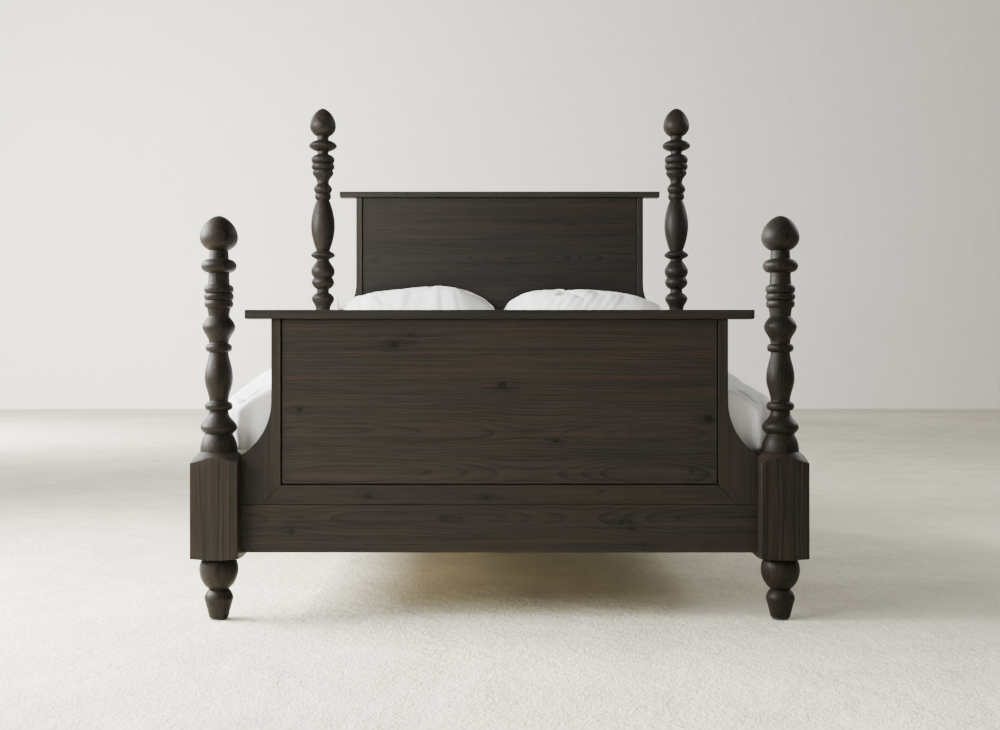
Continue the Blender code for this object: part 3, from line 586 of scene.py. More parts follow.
# ------------------------------------------------------------------ head and foot boards
def board(word, sy):
    y = sy * POST_Y
    stile_lo, stile_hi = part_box(f"{word}_stile_right")
    cap_lo, cap_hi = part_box(f"{word}_cap")
    sub_lo, sub_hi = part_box(f"{word}_sub_rail")
    bot_lo, bot_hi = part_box(f"{word}_bottom_rail")
    pan_lo, pan_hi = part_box(f"{word}_panel")
    half_t = (stile_hi.y - stile_lo.y) / 2
    z_sub0, z_sub1 = sub_lo.z, sub_hi.z
    stile_in, block = stile_lo.x, stile_hi.x
    mitre = sub_hi.x
    wing_z = 0.6446 if sy < 0 else 1.131
    R, out = 0.186, 0.6724
    cx = out + R
    seed = 21.0 if sy < 0 else 33.0
    # cap
    cap_mat = dark_wood(f"wood_{word}_cap", "x", seed + 1, v0=cap_lo.z - 0.13, w0=0.10 - y, wamp=0.03, spacing=0.0055)
    cap = rbox(f"{word}_cap_board", cap_lo.x, cap_hi.x, cap_lo.y, cap_hi.y, cap_lo.z, cap_hi.z, cap_mat, 0.0028, 3)
    piece(cap, "bed_frame", "dark_wood", f"{word}_cap")
    # stiles with their swept wings
    for s, sx in SIDES:
        pts = [(stile_in, stile_hi.z), (stile_in, z_sub1), (mitre + 0.0009, z_sub0), (block, z_sub0)]
        end = math.acos((cx - block) / R)
        for i in range(29):
            a = end * (1 - i / 28)
            pts.append((cx - R * math.cos(a), wing_z - R * math.sin(a)))
        pts.append((out, stile_hi.z))
        mat = dark_wood(f"wood_{word}_stile_{s}", "z", seed + 2 + sx, v0=sx * 0.50, w0=0.06 - y, wamp=0.03, spacing=0.0052, wave=0.014, tone=0.93)
        ob = rprism(f"{word}_wing_{s}", [(sx * a, b) for a, b in pts], y - half_t, y + half_t, "y", mat, 0.0014, 2, angle=30)
        piece(ob, "bed_frame", "dark_wood", f"{word}_stile_{s}")
    # mitred sub-rail
    knots = ((-0.385, 0.365, 0.0075), (-0.040, 0.362, 0.0085), (0.30, 0.380, 0.004)) if sy < 0 else ((0.22, 0.37, 0.006),)
    mat = dark_wood(f"wood_{word}_sub", "x", seed + 5, v0=z_sub0 - 0.22, w0=0.05 - y, wamp=0.03, spacing=0.0058, knots=knots, tone=0.93)
    ob = rprism(f"{word}_sub_board", [(-stile_in + 0.0004, z_sub1), (stile_in - 0.0004, z_sub1), (mitre, z_sub0), (-mitre, z_sub0)],
                y - half_t, y + half_t, "y", mat, 0.0016, 2)
    piece(ob, "bed_frame", "dark_wood", f"{word}_sub_rail")
    # bottom rail with its tenons
    knots = ((-0.613, 0.262, 0.0085), (0.358, 0.288, 0.0080), (0.392, 0.268, 0.0060), (0.424, 0.222, 0.0065), (-0.118, 0.300, 0.004)) if sy < 0 else \
            ((0.41, 0.27, 0.008), (-0.22, 0.30, 0.006))
    mat = dark_wood(f"wood_{word}_bottom", "x", seed + 6, v0=0.30, w0=0.055 - y, wamp=0.045, wave=0.02, spacing=0.0072, knots=knots, ufreq=1.6, tone=0.90)
    bm = bmesh.new()
    end = POST_X - BLOCK - 0.0003
    loops = []
    for x, tenon in ((-bot_hi.x, 1), (-end, 1), (-end, 0), (end, 0), (end, 1), (bot_hi.x, 1)):
        hy, za, zb = (0.010, 0.225, 0.315) if tenon else (half_t, bot_lo.z, bot_hi.z)
        loops.append([bm.verts.new(p) for p in ((x, y - hy, za), (x, y + hy, za), (x, y + hy, zb), (x, y - hy, zb))])
    for a, b in zip(loops, loops[1:]):
        for i in range(4):
            j = (i + 1) % 4
            bm.faces.new((a[i], a[j], b[j], b[i]))
    bm.faces.new(list(reversed(loops[0])))
    bm.faces.new(loops[-1])
    bmesh.ops.recalc_face_normals(bm, faces=bm.faces)
    long_edges = [e for e in bm.edges if abs((e.verts[0].co - e.verts[1].co).x) > 0.5]
    bmesh.ops.bevel(bm, geom=long_edges, offset=0.0024, segments=2, profile=0.5, affect="EDGES")
    ob = finish_bm(f"{word}_bottom_board", bm, mat, weighted=True)
    piece(ob, "bed_frame", "dark_wood", f"{word}_bottom_rail")
    # panel: raised field on a tongue, both faces
    field, core, f, t = 0.016, 0.005, 0.0030, 0.008
    x0, z0, z1 = stile_in, z_sub1, cap_lo.z
    if sy < 0:
        knots = ((-0.3085, 0.8118, 0.0100), (0.0090, 0.6905, 0.0115), (-0.590, 0.6185, 0.0075), (0.6150, 0.5930, 0.0115), (0.1650, 0.5280, 0.0070),
                 (-0.262, 0.840, 0.004), (0.566, 0.437, 0.005))
        zones = ((0.632, 0.552, 0.0, -0.03), (0.478, 0.428, 0.012, 0.02))
        mat = dark_wood(f"wood_{word}_panel", "x", 41.0, v0=1.16, w0=0.050 - y, wamp=0.062, wave=0.020, spacing=0.0080, knots=knots, zones=zones, ufreq=1.25, tone=1.05)
    else:
        knots = ((-0.590, 1.238, 0.007), (0.33, 1.41, 0.006), (-0.05, 0.80, 0.010), (0.44, 0.66, 0.008))
        zones = ((1.335, 1.252, 0.0, -0.02), (1.05, 0.70, 0.01, 0.02), (0.72, 0.55, 0.0, -0.02))
        mat = dark_wood(f"wood_{word}_panel", "x", 52.0, v0=1.80, w0=0.060 - y, wamp=0.055, wave=0.022, spacing=0.0084, knots=knots, zones=zones, ufreq=1.3, tone=0.64)
    bm = bmesh.new()
    levels = ((-field, -f - 0.0012), (-field + 0.0012, -f), (-core, -f), (-core, t), (core, t), (core, -f), (field - 0.0012, -f), (field, -f - 0.0012))
    loops = []
    for yy, g in levels:
        gt = g if g > 0 else g * 0.30
        loops.append([bm.verts.new(p) for p in ((-x0 - g, y + yy, z0 - g), (x0 + g, y + yy, z0 - g), (x0 + g, y + yy, z1 + gt), (-x0 - g, y + yy, z1 + gt))])
    for a, b in zip(loops, loops[1:]):
        for i in range(4):
            j = (i + 1) % 4
            bm.faces.new((a[i], a[j], b[j], b[i]))
    bm.faces.new(loops[0])
    bm.faces.new(list(reversed(loops[-1])))
    ob = finish_bm(f"{word}_panel_board", bm, mat, smooth=False)
    piece(ob, "bed_frame", "dark_wood", f"{word}_panel")


board("footboard", -1)
board("headboard", 1)

# ------------------------------------------------------------------ side rails
for s, sx in SIDES:
    lo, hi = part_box(f"side_rail_{s}")
    mat = dark_wood(f"wood_side_rail_{s}", "y", 61.0 + sx, v0=sx * 0.80 + 0.03, w0=-0.20, wamp=0.03, wave=0.02, spacing=0.0060)
    # here the board's width is vertical, so the rings are cut across z
    ob = rbox(f"side_board_{s}", lo.x, hi.x, lo.y, hi.y, lo.z, hi.z, mat, 0.0020, 2)
    piece(ob, "bed_frame", "dark_wood", f"side_rail_{s}")


# ------------------------------------------------------------------ small hardware
def steel(name, base=(0.42, 0.41, 0.39), rough=0.34, brushed="z"):
    t = Tree(name)
    x, y, z = t.sep(t.coords())
    sc = {"x": (9, 700, 700), "y": (700, 9, 700), "z": (700, 700, 9)}[brushed]
    line_n = t.noise(t.com(t.math("MULTIPLY", x, sc[0]), t.math("MULTIPLY", y, sc[1]), t.math("MULTIPLY", z, sc[2])), 1.0, 3, 0.6, 2.0)
    spot = t.noise(t.com(x, y, z), 55.0, 4, 0.6, 5.0)
    col = t.ramp(t.math("ADD", t.math("MULTIPLY", line_n, 0.5), t.math("MULTIPLY", spot, 0.5)),
                 ((0.25, tuple(c * 0.62 for c in base)), (0.55, base), (0.8, tuple(c * 1.25 for c in base))))
    t.rgb(t.bsdf.inputs["Base Color"], col)
    t.bsdf.inputs["Metallic"].default_value = 1.0
    t.put(t.bsdf.inputs["Roughness"], t.math("ADD", t.math("MULTIPLY", spot, 0.25), rough - 0.08))
    t.link(t.bump(line_n, 0.00008, 0.7), t.bsdf.inputs["Normal"])
    return t.mat


def nylon(name, base=(0.020, 0.020, 0.021)):
    t = Tree(name)
    x, y, z = t.sep(t.coords())
    n1 = t.noise(t.com(x, y, z), 900.0, 3, 0.6, 1.0)
    n2 = t.noise(t.com(x, y, z), 60.0, 3, 0.6, 4.0)
    t.rgb(t.bsdf.inputs["Base Color"], t.ramp(n2, ((0.3, base), (0.75, tuple(c * 2.2 + 0.006 for c in base)))))
    t.put(t.bsdf.inputs["Roughness"], t.math("ADD", t.math("MULTIPLY", n2, 0.2), 0.45))
    t.link(t.bump(n1, 0.00015, 0.8), t.bsdf.inputs["Normal"])
    return t.mat


def pale_wood(name, grain, seed, a=(0.30, 0.215, 0.140), b=(0.46, 0.36, 0.255), v_axis="y"):
    t = Tree(name)
    x, y, z = t.sep(t.coords())
    u, v, w = {"x": (x, y, z), "y": (y, x, z), "z": (z, x, y)}[grain]
    low = t.noise(t.com(t.math("MULTIPLY", u, 1.7), t.math("MULTIPLY", v, 9), t.math("MULTIPLY", w, 9)), 1.0, 2, 0.5, seed)
    dist = t.math("ADD", t.math("MULTIPLY", v, 90.0), t.math("MULTIPLY", low, 11.0))
    saw = t.math("FRACT", dist)
    ring = t.ramp(saw, ((0.0, 0.1), (0.1, 0.0), (0.7, 0.45), (0.92, 1.0), (1.0, 0.1)))
    fib = t.noise(t.com(t.math("MULTIPLY", u, 8), t.math("MULTIPLY", v, 420), t.math("MULTIPLY", w, 420)), 1.0, 3, 0.6, seed + 2)
    kn = t.noise(t.com(t.math("MULTIPLY", u, 2.2), t.math("MULTIPLY", v, 14), t.math("MULTIPLY", w, 6)), 1.0, 1, 0.5, seed + 5)
    knot = t.remap(kn, 0.73, 0.78, 0.0, 1.0, True)
    f = t.math("SUBTRACT", t.math("ADD", t.math("MULTIPLY", fib, 0.7), 0.45), t.math("MULTIPLY", ring, 0.48), clamp=True)
    col = t.mix(f, a, b)
    col = t.mix(t.math("MULTIPLY", knot, 0.8), col, (0.20, 0.095, 0.04))
    t.rgb(t.bsdf.inputs["Base Color"], col)
    t.put(t.bsdf.inputs["Roughness"], t.math("ADD", t.math("MULTIPLY", fib, 0.2), 0.50))
    t.link(t.bump(t.math("ADD", t.math("MULTIPLY", fib, 0.7), t.math("MULTIPLY", ring, -0.3)), 0.0004, 0.8), t.bsdf.inputs["Normal"])
    return t.mat


MAT_STEEL = steel("plate_steel")
MAT_NYLON = nylon("nylon")


for node in sorted(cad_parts):
    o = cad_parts[node]
    if node.startswith("slat_"):
        lo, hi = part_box(node)
        k = int(node[-2:])
        ob = rbox(node.replace("slat_", "pine_slat_"), lo.x, hi.x, lo.y, hi.y, lo.z, hi.z, pale_wood(f"wood_{node}", "x", 3.7 * k), 0.0022, 2)
        piece(ob, "bed_frame", "slat_wood", node)
    elif node.startswith("ledger_"):
        lo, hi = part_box(node)
        ob = rbox(node + "_strip", lo.x, hi.x, lo.y, hi.y, lo.z, hi.z, pale_wood(f"wood_{node}", "y", 71.0 if "left" in node else 75.0), 0.0018, 2)
        piece(ob, "bed_frame", "slat_wood", node)
    elif node == "centre_beam":
        lo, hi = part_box(node)
        ob = rbox("beam_board", lo.x, hi.x, lo.y, hi.y, lo.z, hi.z, pale_wood("wood_beam", "y", 81.0), 0.0022, 2)
        piece(ob, "bed_frame", "slat_wood", node)
    elif node == "centre_leg":
        lo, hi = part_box(node)
        # a square post with eased corners
        ob = rbox("beam_leg", lo.x, hi.x, lo.y, hi.y, lo.z, hi.z, pale_wood("wood_leg", "z", 85.0), 0.004, 3)
        piece(ob, "bed_frame", "slat_wood", node)
    elif node.startswith("glide_"):
        lo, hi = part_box(node)
        c = (lo + hi) / 2
        r = (hi.x - lo.x) / 2
        h = hi.z - lo.z
        prof = [(r * 0.80, lo.z), (r * 0.93, lo.z + h * 0.06), (r * 0.985, lo.z + h * 0.22), (r, lo.z + h * 0.42), (r, hi.z - h * 0.12), (r - h * 0.10, hi.z)]
        turned(node.replace("glide_", "foot_pad_"), prof, c.x, c.y, MAT_NYLON, "bed_frame", "nylon", node, 48)
    elif node.startswith(("rail_hook_", "rail_keeper_", "beam_hanger_")):
        for k in range(len(o.material_slots)):
            o.material_slots[k].link = "OBJECT"
            o.material_slots[k].material = MAT_STEEL
        if not o.material_slots:
            o.data.materials.append(MAT_STEEL)
        bv = o.modifiers.new("eased", "BEVEL")
        bv.width = 0.0006
        bv.segments = 2
        bv.limit_method = "ANGLE"
        bv.angle_limit = math.radians(40)
        bv.harden_normals = True


# ------------------------------------------------------------------ cloth materials
def cotton(name, base=(0.80, 0.80, 0.80), thread=0.00042, vary=0.05, sheen=0.25, seed=1.0, slub=True, filling=0.0):
    """Plain-woven cotton. The weave is cut through space on the three planes and each face takes the one it looks along."""
    t = Tree(name)
    x, y, z = t.sep(t.coords())
    geo = t.nt.nodes.new("ShaderNodeNewGeometry")
    nx, ny, nz = t.sep(geo.outputs["Normal"])

    def weave(a, b):
        fa = t.math("SINE", t.math("MULTIPLY", a, math.pi / thread))
        fb = t.math("SINE", t.math("MULTIPLY", b, math.pi / thread))
        over = t.math("MULTIPLY", fa, fb)
        return t.math("MULTIPLY_ADD", over, 0.5, 0.5)

    wx = t.remap(t.math("ABSOLUTE", nx), 0.45, 0.75, 0.0, 1.0)
    wy = t.math("MULTIPLY", t.remap(t.math("ABSOLUTE", ny), 0.45, 0.75, 0.0, 1.0), t.math("SUBTRACT", 1.0, wx))
    w_top = weave(x, y)
    w_side = weave(y, z)
    w_front = weave(x, z)
    mix1 = t.math("ADD", t.math("MULTIPLY", w_side, wx), t.math("MULTIPLY", w_top, t.math("SUBTRACT", 1.0, wx)))
    wv = t.math("ADD", t.math("MULTIPLY", w_front, wy), t.math("MULTIPLY", mix1, t.math("SUBTRACT", 1.0, wy)))
    fine = t.noise(t.com(x, y, z), 1700.0, 2, 0.6, seed)
    slubs = t.noise(t.com(t.math("MULTIPLY", x, 60), t.math("MULTIPLY", y, 900), t.math("MULTIPLY", z, 900)), 1.0, 2, 0.6, seed + 2)
    crinkle = t.noise(t.com(x, y, z), 38.0, 5, 0.62, seed + 4, 0.5)
    broad = t.noise(t.com(x, y, z), 4.0, 2, 0.5, seed + 6)
    f = t.math("ADD", t.math("MULTIPLY", fine, 0.5), t.math("MULTIPLY", broad, 0.5))
    hi_c = tuple(min(c * (1 + vary), 0.93) for c in base)
    lo_c = tuple(c * (1 - vary) for c in base)
    col = t.ramp(f, ((0.3, lo_c), (0.7, hi_c)))
    col = t.mix(t.math("MULTIPLY", wv, 0.10), col, tuple(c * 0.80 for c in base))
    t.rgb(t.bsdf.inputs["Base Color"], col)
    t.put(t.bsdf.inputs["Roughness"], t.math("ADD", t.math("MULTIPLY", fine, 0.1), 0.80))
    h = t.math("ADD", t.math("MULTIPLY", wv, 0.28), t.math("MULTIPLY", slubs, 0.30 if slub else 0.1))
    h = t.math("ADD", h, t.math("MULTIPLY", crinkle, 1.9))
    t.link(t.bump(h, 0.00055, 0.75), t.bsdf.inputs["Normal"])
    t.bsdf.inputs["Sheen Weight"].default_value = sheen
    t.bsdf.inputs["Sheen Roughness"].default_value = 0.5
    t.bsdf.inputs["Specular IOR Level"].default_value = 0.25
    if filling:
        t.bsdf.inputs["Subsurface Weight"].default_value = 0.38
        t.bsdf.inputs["Subsurface Radius"].default_value = (1.0, 0.97, 0.93)
        t.bsdf.inputs["Subsurface Scale"].default_value = filling
    return t.mat


def ticking(name, base=(0.62, 0.60, 0.56), stripe=(0.30, 0.34, 0.40), axis="y"):
    t = Tree(name)
    x, y, z = t.sep(t.coords())
    geo = t.nt.nodes.new("ShaderNodeNewGeometry")
    nx, ny, nz = t.sep(geo.outputs["Normal"])
    side = t.math("GREATER_THAN", t.math("ABSOLUTE", nx), 0.6)
    c = t.math("ADD", t.math("MULTIPLY", y, side), t.math("MULTIPLY", x, t.math("SUBTRACT", 1.0, side)))
    s = t.math("FRACT", t.math("DIVIDE", c, 0.021))
    line_m = t.ramp(s, ((0.0, 0.0), (0.30, 0.0), (0.33, 1.0), (0.36, 0.0), (0.42, 0.0), (0.44, 1.0), (0.56, 1.0), (0.58, 0.0), (0.64, 0.0), (0.67, 1.0), (0.70, 0.0)))
    twill = t.math("SINE", t.math("MULTIPLY", t.math("ADD", c, z), 5200.0))
    fine = t.noise(t.com(x, y, z), 1500.0, 2, 0.6, 3.0)
    col = t.mix(t.math("MULTIPLY", line_m, 0.85), t.ramp(fine, ((0.3, tuple(k * 0.92 for k in base)), (0.7, tuple(k * 1.06 for k in base)))), stripe)
    t.rgb(t.bsdf.inputs["Base Color"], col)
    t.bsdf.inputs["Roughness"].default_value = 0.85
    t.link(t.bump(t.math("ADD", t.math("MULTIPLY", twill, 0.4), fine), 0.0002, 0.6), t.bsdf.inputs["Normal"])
    t.bsdf.inputs["Sheen Weight"].default_value = 0.15
    return t.mat


MAT_DUVET = cotton("duvet_cotton", (0.83, 0.835, 0.84), seed=2.0, filling=0.020)
MAT_PILLOW = cotton("pillow_cotton", (0.78, 0.78, 0.775), seed=8.0)
MAT_MATTRESS = cotton("mattress_cloth", (0.70, 0.69, 0.66), thread=0.0011, vary=0.06, seed=15.0)
MAT_TAPE = cotton("tape_cloth", (0.60, 0.585, 0.55), thread=0.0008, seed=19.0)
MAT_TICK = ticking("ticking")


# ------------------------------------------------------------------ smooth repeatable noise for shaping
def fbm(p, octaves=3):
    v, a, s = 0.0, 1.0, 0.0
    for i in range(octaves):
        v += a * noise.noise(p)
        s += a
        p = p * 2.03 + Vector((11.3, 7.1, 3.7))
        a *= 0.5
    return v / s


def sstep(a, b, x):
    t = min(max((x - a) / (b - a), 0.0), 1.0)
    return t * t * (3 - 2 * t)


def tube(name, path, radius, mat, closed=True, seg=10):
    """A swept cord of cloth: piping or a rolled tape edge."""
    bm = bmesh.new()
    n = len(path)
    loops = []
    for i, p in enumerate(path):
        a, b = path[(i - 1) % n], path[(i + 1) % n]
        if not closed:
            a, b = path[max(i - 1, 0)], path[min(i + 1, n - 1)]
        d = (Vector(b) - Vector(a)).normalized()
        up = Vector((0, 0, 1)) if abs(d.z) < 0.9 else Vector((1, 0, 0))
        s = d.cross(up).normalized()
        q = s.cross(d).normalized()
        loops.append([bm.verts.new(Vector(p) + (s * math.cos(2 * math.pi * k / seg) + q * math.sin(2 * math.pi * k / seg)) * radius) for k in range(seg)])
    pairs = list(zip(loops, loops[1:])) + ([(loops[-1], loops[0])] if closed else [])
    for a, b in pairs:
        for k in range(seg):
            j = (k + 1) % seg
            bm.faces.new((a[k], a[j], b[j], b[k]))
    if not closed:
        bm.faces.new(list(reversed(loops[0])))
        bm.faces.new(loops[-1])
    return finish_bm(name, bm, mat)


def rounded_rect(hx, hy, r, cx=0.0, cy=0.0, step=0.02):
    pts = []
    for sx, sy, a0 in ((1, 1, 0), (-1, 1, 90), (-1, -1, 180), (1, -1, 270)):
        for i in range(9):
            a = math.radians(a0 + 90 * i / 8)
            pts.append((cx + sx * (hx - r) + r * math.cos(a), cy + sy * (hy - r) + r * math.sin(a)))
    out = []
    n = len(pts)
    for i in range(n):
        a, b = pts[i], pts[(i + 1) % n]
        k = max(1, int(math.hypot(b[0] - a[0], b[1] - a[1]) / step))
        out += [(a[0] + (b[0] - a[0]) * j / k, a[1] + (b[1] - a[1]) * j / k) for j in range(k)]
    return out


def stuffed_block(name, lo, hi, mat, side_swell=0.006, edge_r=0.05, quilt=0.004, pitch=0.085, step=0.018, top_swell=0.004, tuft=True):
    """Mattress-like block: rings round the outside, then a quilted top and bottom."""
    cx, cy = (lo.x + hi.x) / 2, (lo.y + hi.y) / 2
    hx, hy = (hi.x - lo.x) / 2, (hi.y - lo.y) / 2
    z0, z1 = lo.z, hi.z
    rim = rounded_rect(hx, hy, edge_r, cx, cy, step)
    n = len(rim)

    def inner(p, d):
        # move a rim point inwards along the ring's own offset
        x, y = p[0] - cx, p[1] - cy
        sx = math.copysign(min(abs(x), hx - edge_r), x)
        sy = math.copysign(min(abs(y), hy - edge_r), y)
        vx, vy = x - sx, y - sy
        m = math.hypot(vx, vy) or 1.0
        return (cx + x - vx / m * d, cy + y - vy / m * d)

    rings = []
    h = z1 - z0
    nz = max(6, int(h / 0.02))
    lip = 0.009
    for i in range(nz + 1):
        f = i / nz
        z = z0 + lip + (h - 2 * lip) * f
        bulge = side_swell * (math.sin(math.pi * f) ** 0.6)
        ring = []
        for k, p in enumerate(rim):
            wob = 0.0012 * noise.noise(Vector((p[0] * 6, p[1] * 6, z * 14)))
            q = inner(p, side_swell - bulge - wob + 0.0018 + (0.004 if i in (0, nz) else 0.0))
            ring.append((q[0], q[1], z))
        rings.append(ring)
    bm = bmesh.new()
    loops = [[bm.verts.new(p) for p in ring] for ring in rings]
    for a, b in zip(loops, loops[1:]):
        for i in range(n):
            j = (i + 1) % n
            bm.faces.new((a[i], a[j], b[j], b[i]))

    def cap(loop, z, sgn):
        # concentric rings inwards to near the middle line, then close with a grid strip
        prev = loop
        offs = [0.006, 0.014, 0.026, 0.042]
        for d in offs:
            ring = []
            for k, p in enumerate(rim):
                q = inner(p, d + 0.004)
                rise = lip * math.sin(math.pi / 2 * min(d / 0.042, 1.0))
                ring.append(bm.verts.new((q[0], q[1], z + sgn * (rise - 0.0008))))
            for i in range(n):
                j = (i + 1) % n
                f = (prev[i], prev[j], ring[j], ring[i]) if sgn > 0 else (prev[j], prev[i], ring[i], ring[j])
                bm.faces.new(f)
            prev = ring
        return prev

    top = cap(loops[-1], z1 - lip, 1)
    bot = cap(loops[0], z0 + lip, -1)
    for loop, z, sgn in ((top, z1, 1), (bot, z0, -1)):
        edges = []
        for i in range(n):
            e = bm.edges.get((loop[i], loop[(i + 1) % n]))
            edges.append(e)
        bmesh.ops.triangle_fill(bm, use_beauty=True, use_dissolve=False, edges=edges)
    bmesh.ops.recalc_face_normals(bm, faces=bm.faces)
    # cut the flat faces into a grid fine enough for the quilting
    def bisect(axis, a, b, count):
        for i in range(1, count):
            c = a + (b - a) * i / count
            co = Vector((c, 0, 0)) if axis == 0 else Vector((0, c, 0))
            no = Vector((1, 0, 0)) if axis == 0 else Vector((0, 1, 0))
            geom = [f for f in bm.faces if abs(f.normal.z) > 0.9]
            ed = {e for f in geom for e in f.edges}
            vs = {v for f in geom for v in f.verts}
            bmesh.ops.bisect_plane(bm, geom=list(geom) + list(ed) + list(vs), plane_co=co, plane_no=no, dist=1e-5)
    bisect(0, lo.x, hi.x, int((hi.x - lo.x) / step))
    bisect(1, lo.y, hi.y, int((hi.y - lo.y) / step))
    bmesh.ops.remove_doubles(bm, verts=bm.verts, dist=1e-5)
    for v in bm.verts:
        x, y = v.co.x - cx, v.co.y - cy
        e = min(hx - abs(x), hy - abs(y))
        inside = sstep(0.03, 0.075, e)
        if inside <= 0 or z0 + 0.02 < v.co.z < z1 - 0.02:
            continue
        a = abs(math.sin((x + y) * math.pi / pitch))
        b = abs(math.sin((x - y) * math.pi / pitch))
        puff = quilt * (min(a, b) ** 0.55 - 0.95) * inside
        if v.co.z > (z0 + z1) / 2:
            v.co.z += puff
        else:
            v.co.z -= puff * 0.6
    return finish_bm(name, bm, mat)


# ------------------------------------------------------------------ foundation and mattress
lo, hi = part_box("foundation")
base = stuffed_block("foundation_cover", lo, hi, MAT_TICK, side_swell=0.002, edge_r=0.035, quilt=0.0, pitch=0.1, step=0.05)
piece(base, "foundation", "ticking", "foundation")
for k, z in enumerate((lo.z + 0.009, hi.z - 0.009)):
    cord = tube(f"foundation_piping_{k}", [(x, y, z) for x, y in rounded_rect((hi.x - lo.x) / 2 - 0.003, (hi.y - lo.y) / 2 - 0.003, 0.033, 0, (lo.y + hi.y) / 2)], 0.0034, MAT_TAPE)
    piece(cord, "foundation", "ticking")

lo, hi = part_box("mattress")
M_LO, M_HI = lo.copy(), hi.copy()
mat_ob = stuffed_block("mattress_block", lo, hi, MAT_MATTRESS, side_swell=0.006, edge_r=0.055, quilt=0.0045, pitch=0.105, step=0.021)
piece(mat_ob, "mattress", "mattress_cloth", "mattress")
for k, z in enumerate((lo.z + 0.010, hi.z - 0.010)):
    cord = tube(f"mattress_piping_{k}", [(x, y, z) for x, y in rounded_rect((hi.x - lo.x) / 2 - 0.0048, (hi.y - lo.y) / 2 - 0.0048, 0.051, 0, (lo.y + hi.y) / 2)], 0.0046, MAT_TAPE)
    piece(cord, "mattress", "mattress_cloth")

# ------------------------------------------------------------------ cloth simulation of one padded piece
def puff(ob, pressure=4.0, frames=20, cap=0.02, shrink=-0.03, quality=6, stiff=12.0, bend=0.4, pins=None, pin_stiffness=1.0, mass=0.25, cap_fn=None,
         self_hit=False, hit=(), gravity=0.0, airy=1.0):
    """Fills the piece with air in Blender's cloth solver and keeps the result on the mesh, no point moving further than cap."""
    sc = bpy.context.scene
    start = np.array([v.co[:] for v in ob.data.vertices])
    if pins is not None:
        g = ob.vertex_groups.new(name="pin")
        for i, w in enumerate(pins):
            if w > 0:
                g.add([i], float(w), "REPLACE")
    m = ob.modifiers.new("cloth", "CLOTH")
    st = m.settings
    st.quality = quality
    st.mass = mass
    st.air_damping = airy
    st.tension_stiffness = st.compression_stiffness = stiff
    st.shear_stiffness = stiff * 0.5
    st.bending_stiffness = bend
    st.use_pressure = pressure != 0
    st.uniform_pressure_force = pressure
    st.shrink_min = shrink
    st.effector_weights.gravity = gravity
    if pins is not None:
        st.vertex_group_mass = "pin"
        st.pin_stiffness = pin_stiffness
    m.collision_settings.use_collision = bool(hit)
    m.collision_settings.use_self_collision = self_hit
    m.point_cache.frame_start = 1
    m.point_cache.frame_end = frames
    helpers = []
    for h in hit:
        h.modifiers.new("hit", "COLLISION")
        h.collision.thickness_outer = 0.003
        helpers.append(h)
    sc.frame_start, sc.frame_end = 1, frames
    for f in range(1, frames + 1):
        sc.frame_set(f)
    dg = bpy.context.evaluated_depsgraph_get()
    ev = ob.evaluated_get(dg)
    end = np.array([v.co[:] for v in ev.data.vertices])
    if end.shape != start.shape or not np.isfinite(end).all():
        end = start
    d = end - start
    far = np.linalg.norm(d, axis=1)
    lim = np.full(len(far), cap) if cap_fn is None else np.array([cap_fn(Vector(p)) for p in start])
    # soft limit, so that no ring of points stops on one distance
    new = lim * np.tanh(far / np.maximum(lim, 1e-6))
    d = d * (new / np.maximum(far, 1e-9))[:, None]
    ob.modifiers.remove(m)
    for h in helpers:
        for mm in list(h.modifiers):
            if mm.type == "COLLISION":
                h.modifiers.remove(mm)
    sc.frame_set(1)
    ob.data.vertices.foreach_set("co", (start + d).ravel())
    ob.data.update()
    return ob


# ------------------------------------------------------------------ duvet
D_LO, D_HI = [v.copy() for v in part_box("duvet")]
OUTER = [(0.0, 0.764), (0.30, 0.765), (0.45, 0.764), (0.58, 0.757), (0.660, 0.744), (0.700, 0.728), (0.744, 0.703), (0.782, 0.674), (0.823, 0.638),
         (0.848, 0.594), (0.861, 0.540), (0.866, 0.480), (0.867, 0.430), (0.866, 0.3872)]
INNER = [(0.0, 0.6840), (0.30, 0.6840), (0.45, 0.6840), (0.58, 0.6840), (0.660, 0.6840), (0.700, 0.6835), (0.738, 0.6790), (0.757, 0.6640), (0.768, 0.6350),
         (0.774, 0.590), (0.779, 0.540), (0.788, 0.480), (0.800, 0.430), (0.818, 0.3872)]


def curve_fn(points, count):
    """Evenly stepped points along a smooth curve through the given ones."""
    p = np.array(points)
    seg = np.linalg.norm(np.diff(p, axis=0), axis=1)
    s = np.concatenate([[0], np.cumsum(seg)])
    tang = np.gradient(p, s, axis=0)
    out = []
    for i in range(count + 1):
        t = s[-1] * i / count
        k = min(int(np.searchsorted(s, t, side="right")) - 1, len(seg) - 1)
        h = seg[k]
        f = (t - s[k]) / h
        a = 2 * f ** 3 - 3 * f ** 2 + 1
        b = f ** 3 - 2 * f ** 2 + f
        c = -2 * f ** 3 + 3 * f ** 2
        d = f ** 3 - f ** 2
        out.append(a * p[k] + b * h * tang[k] + c * p[k + 1] + d * h * tang[k + 1])
    return np.array(out)


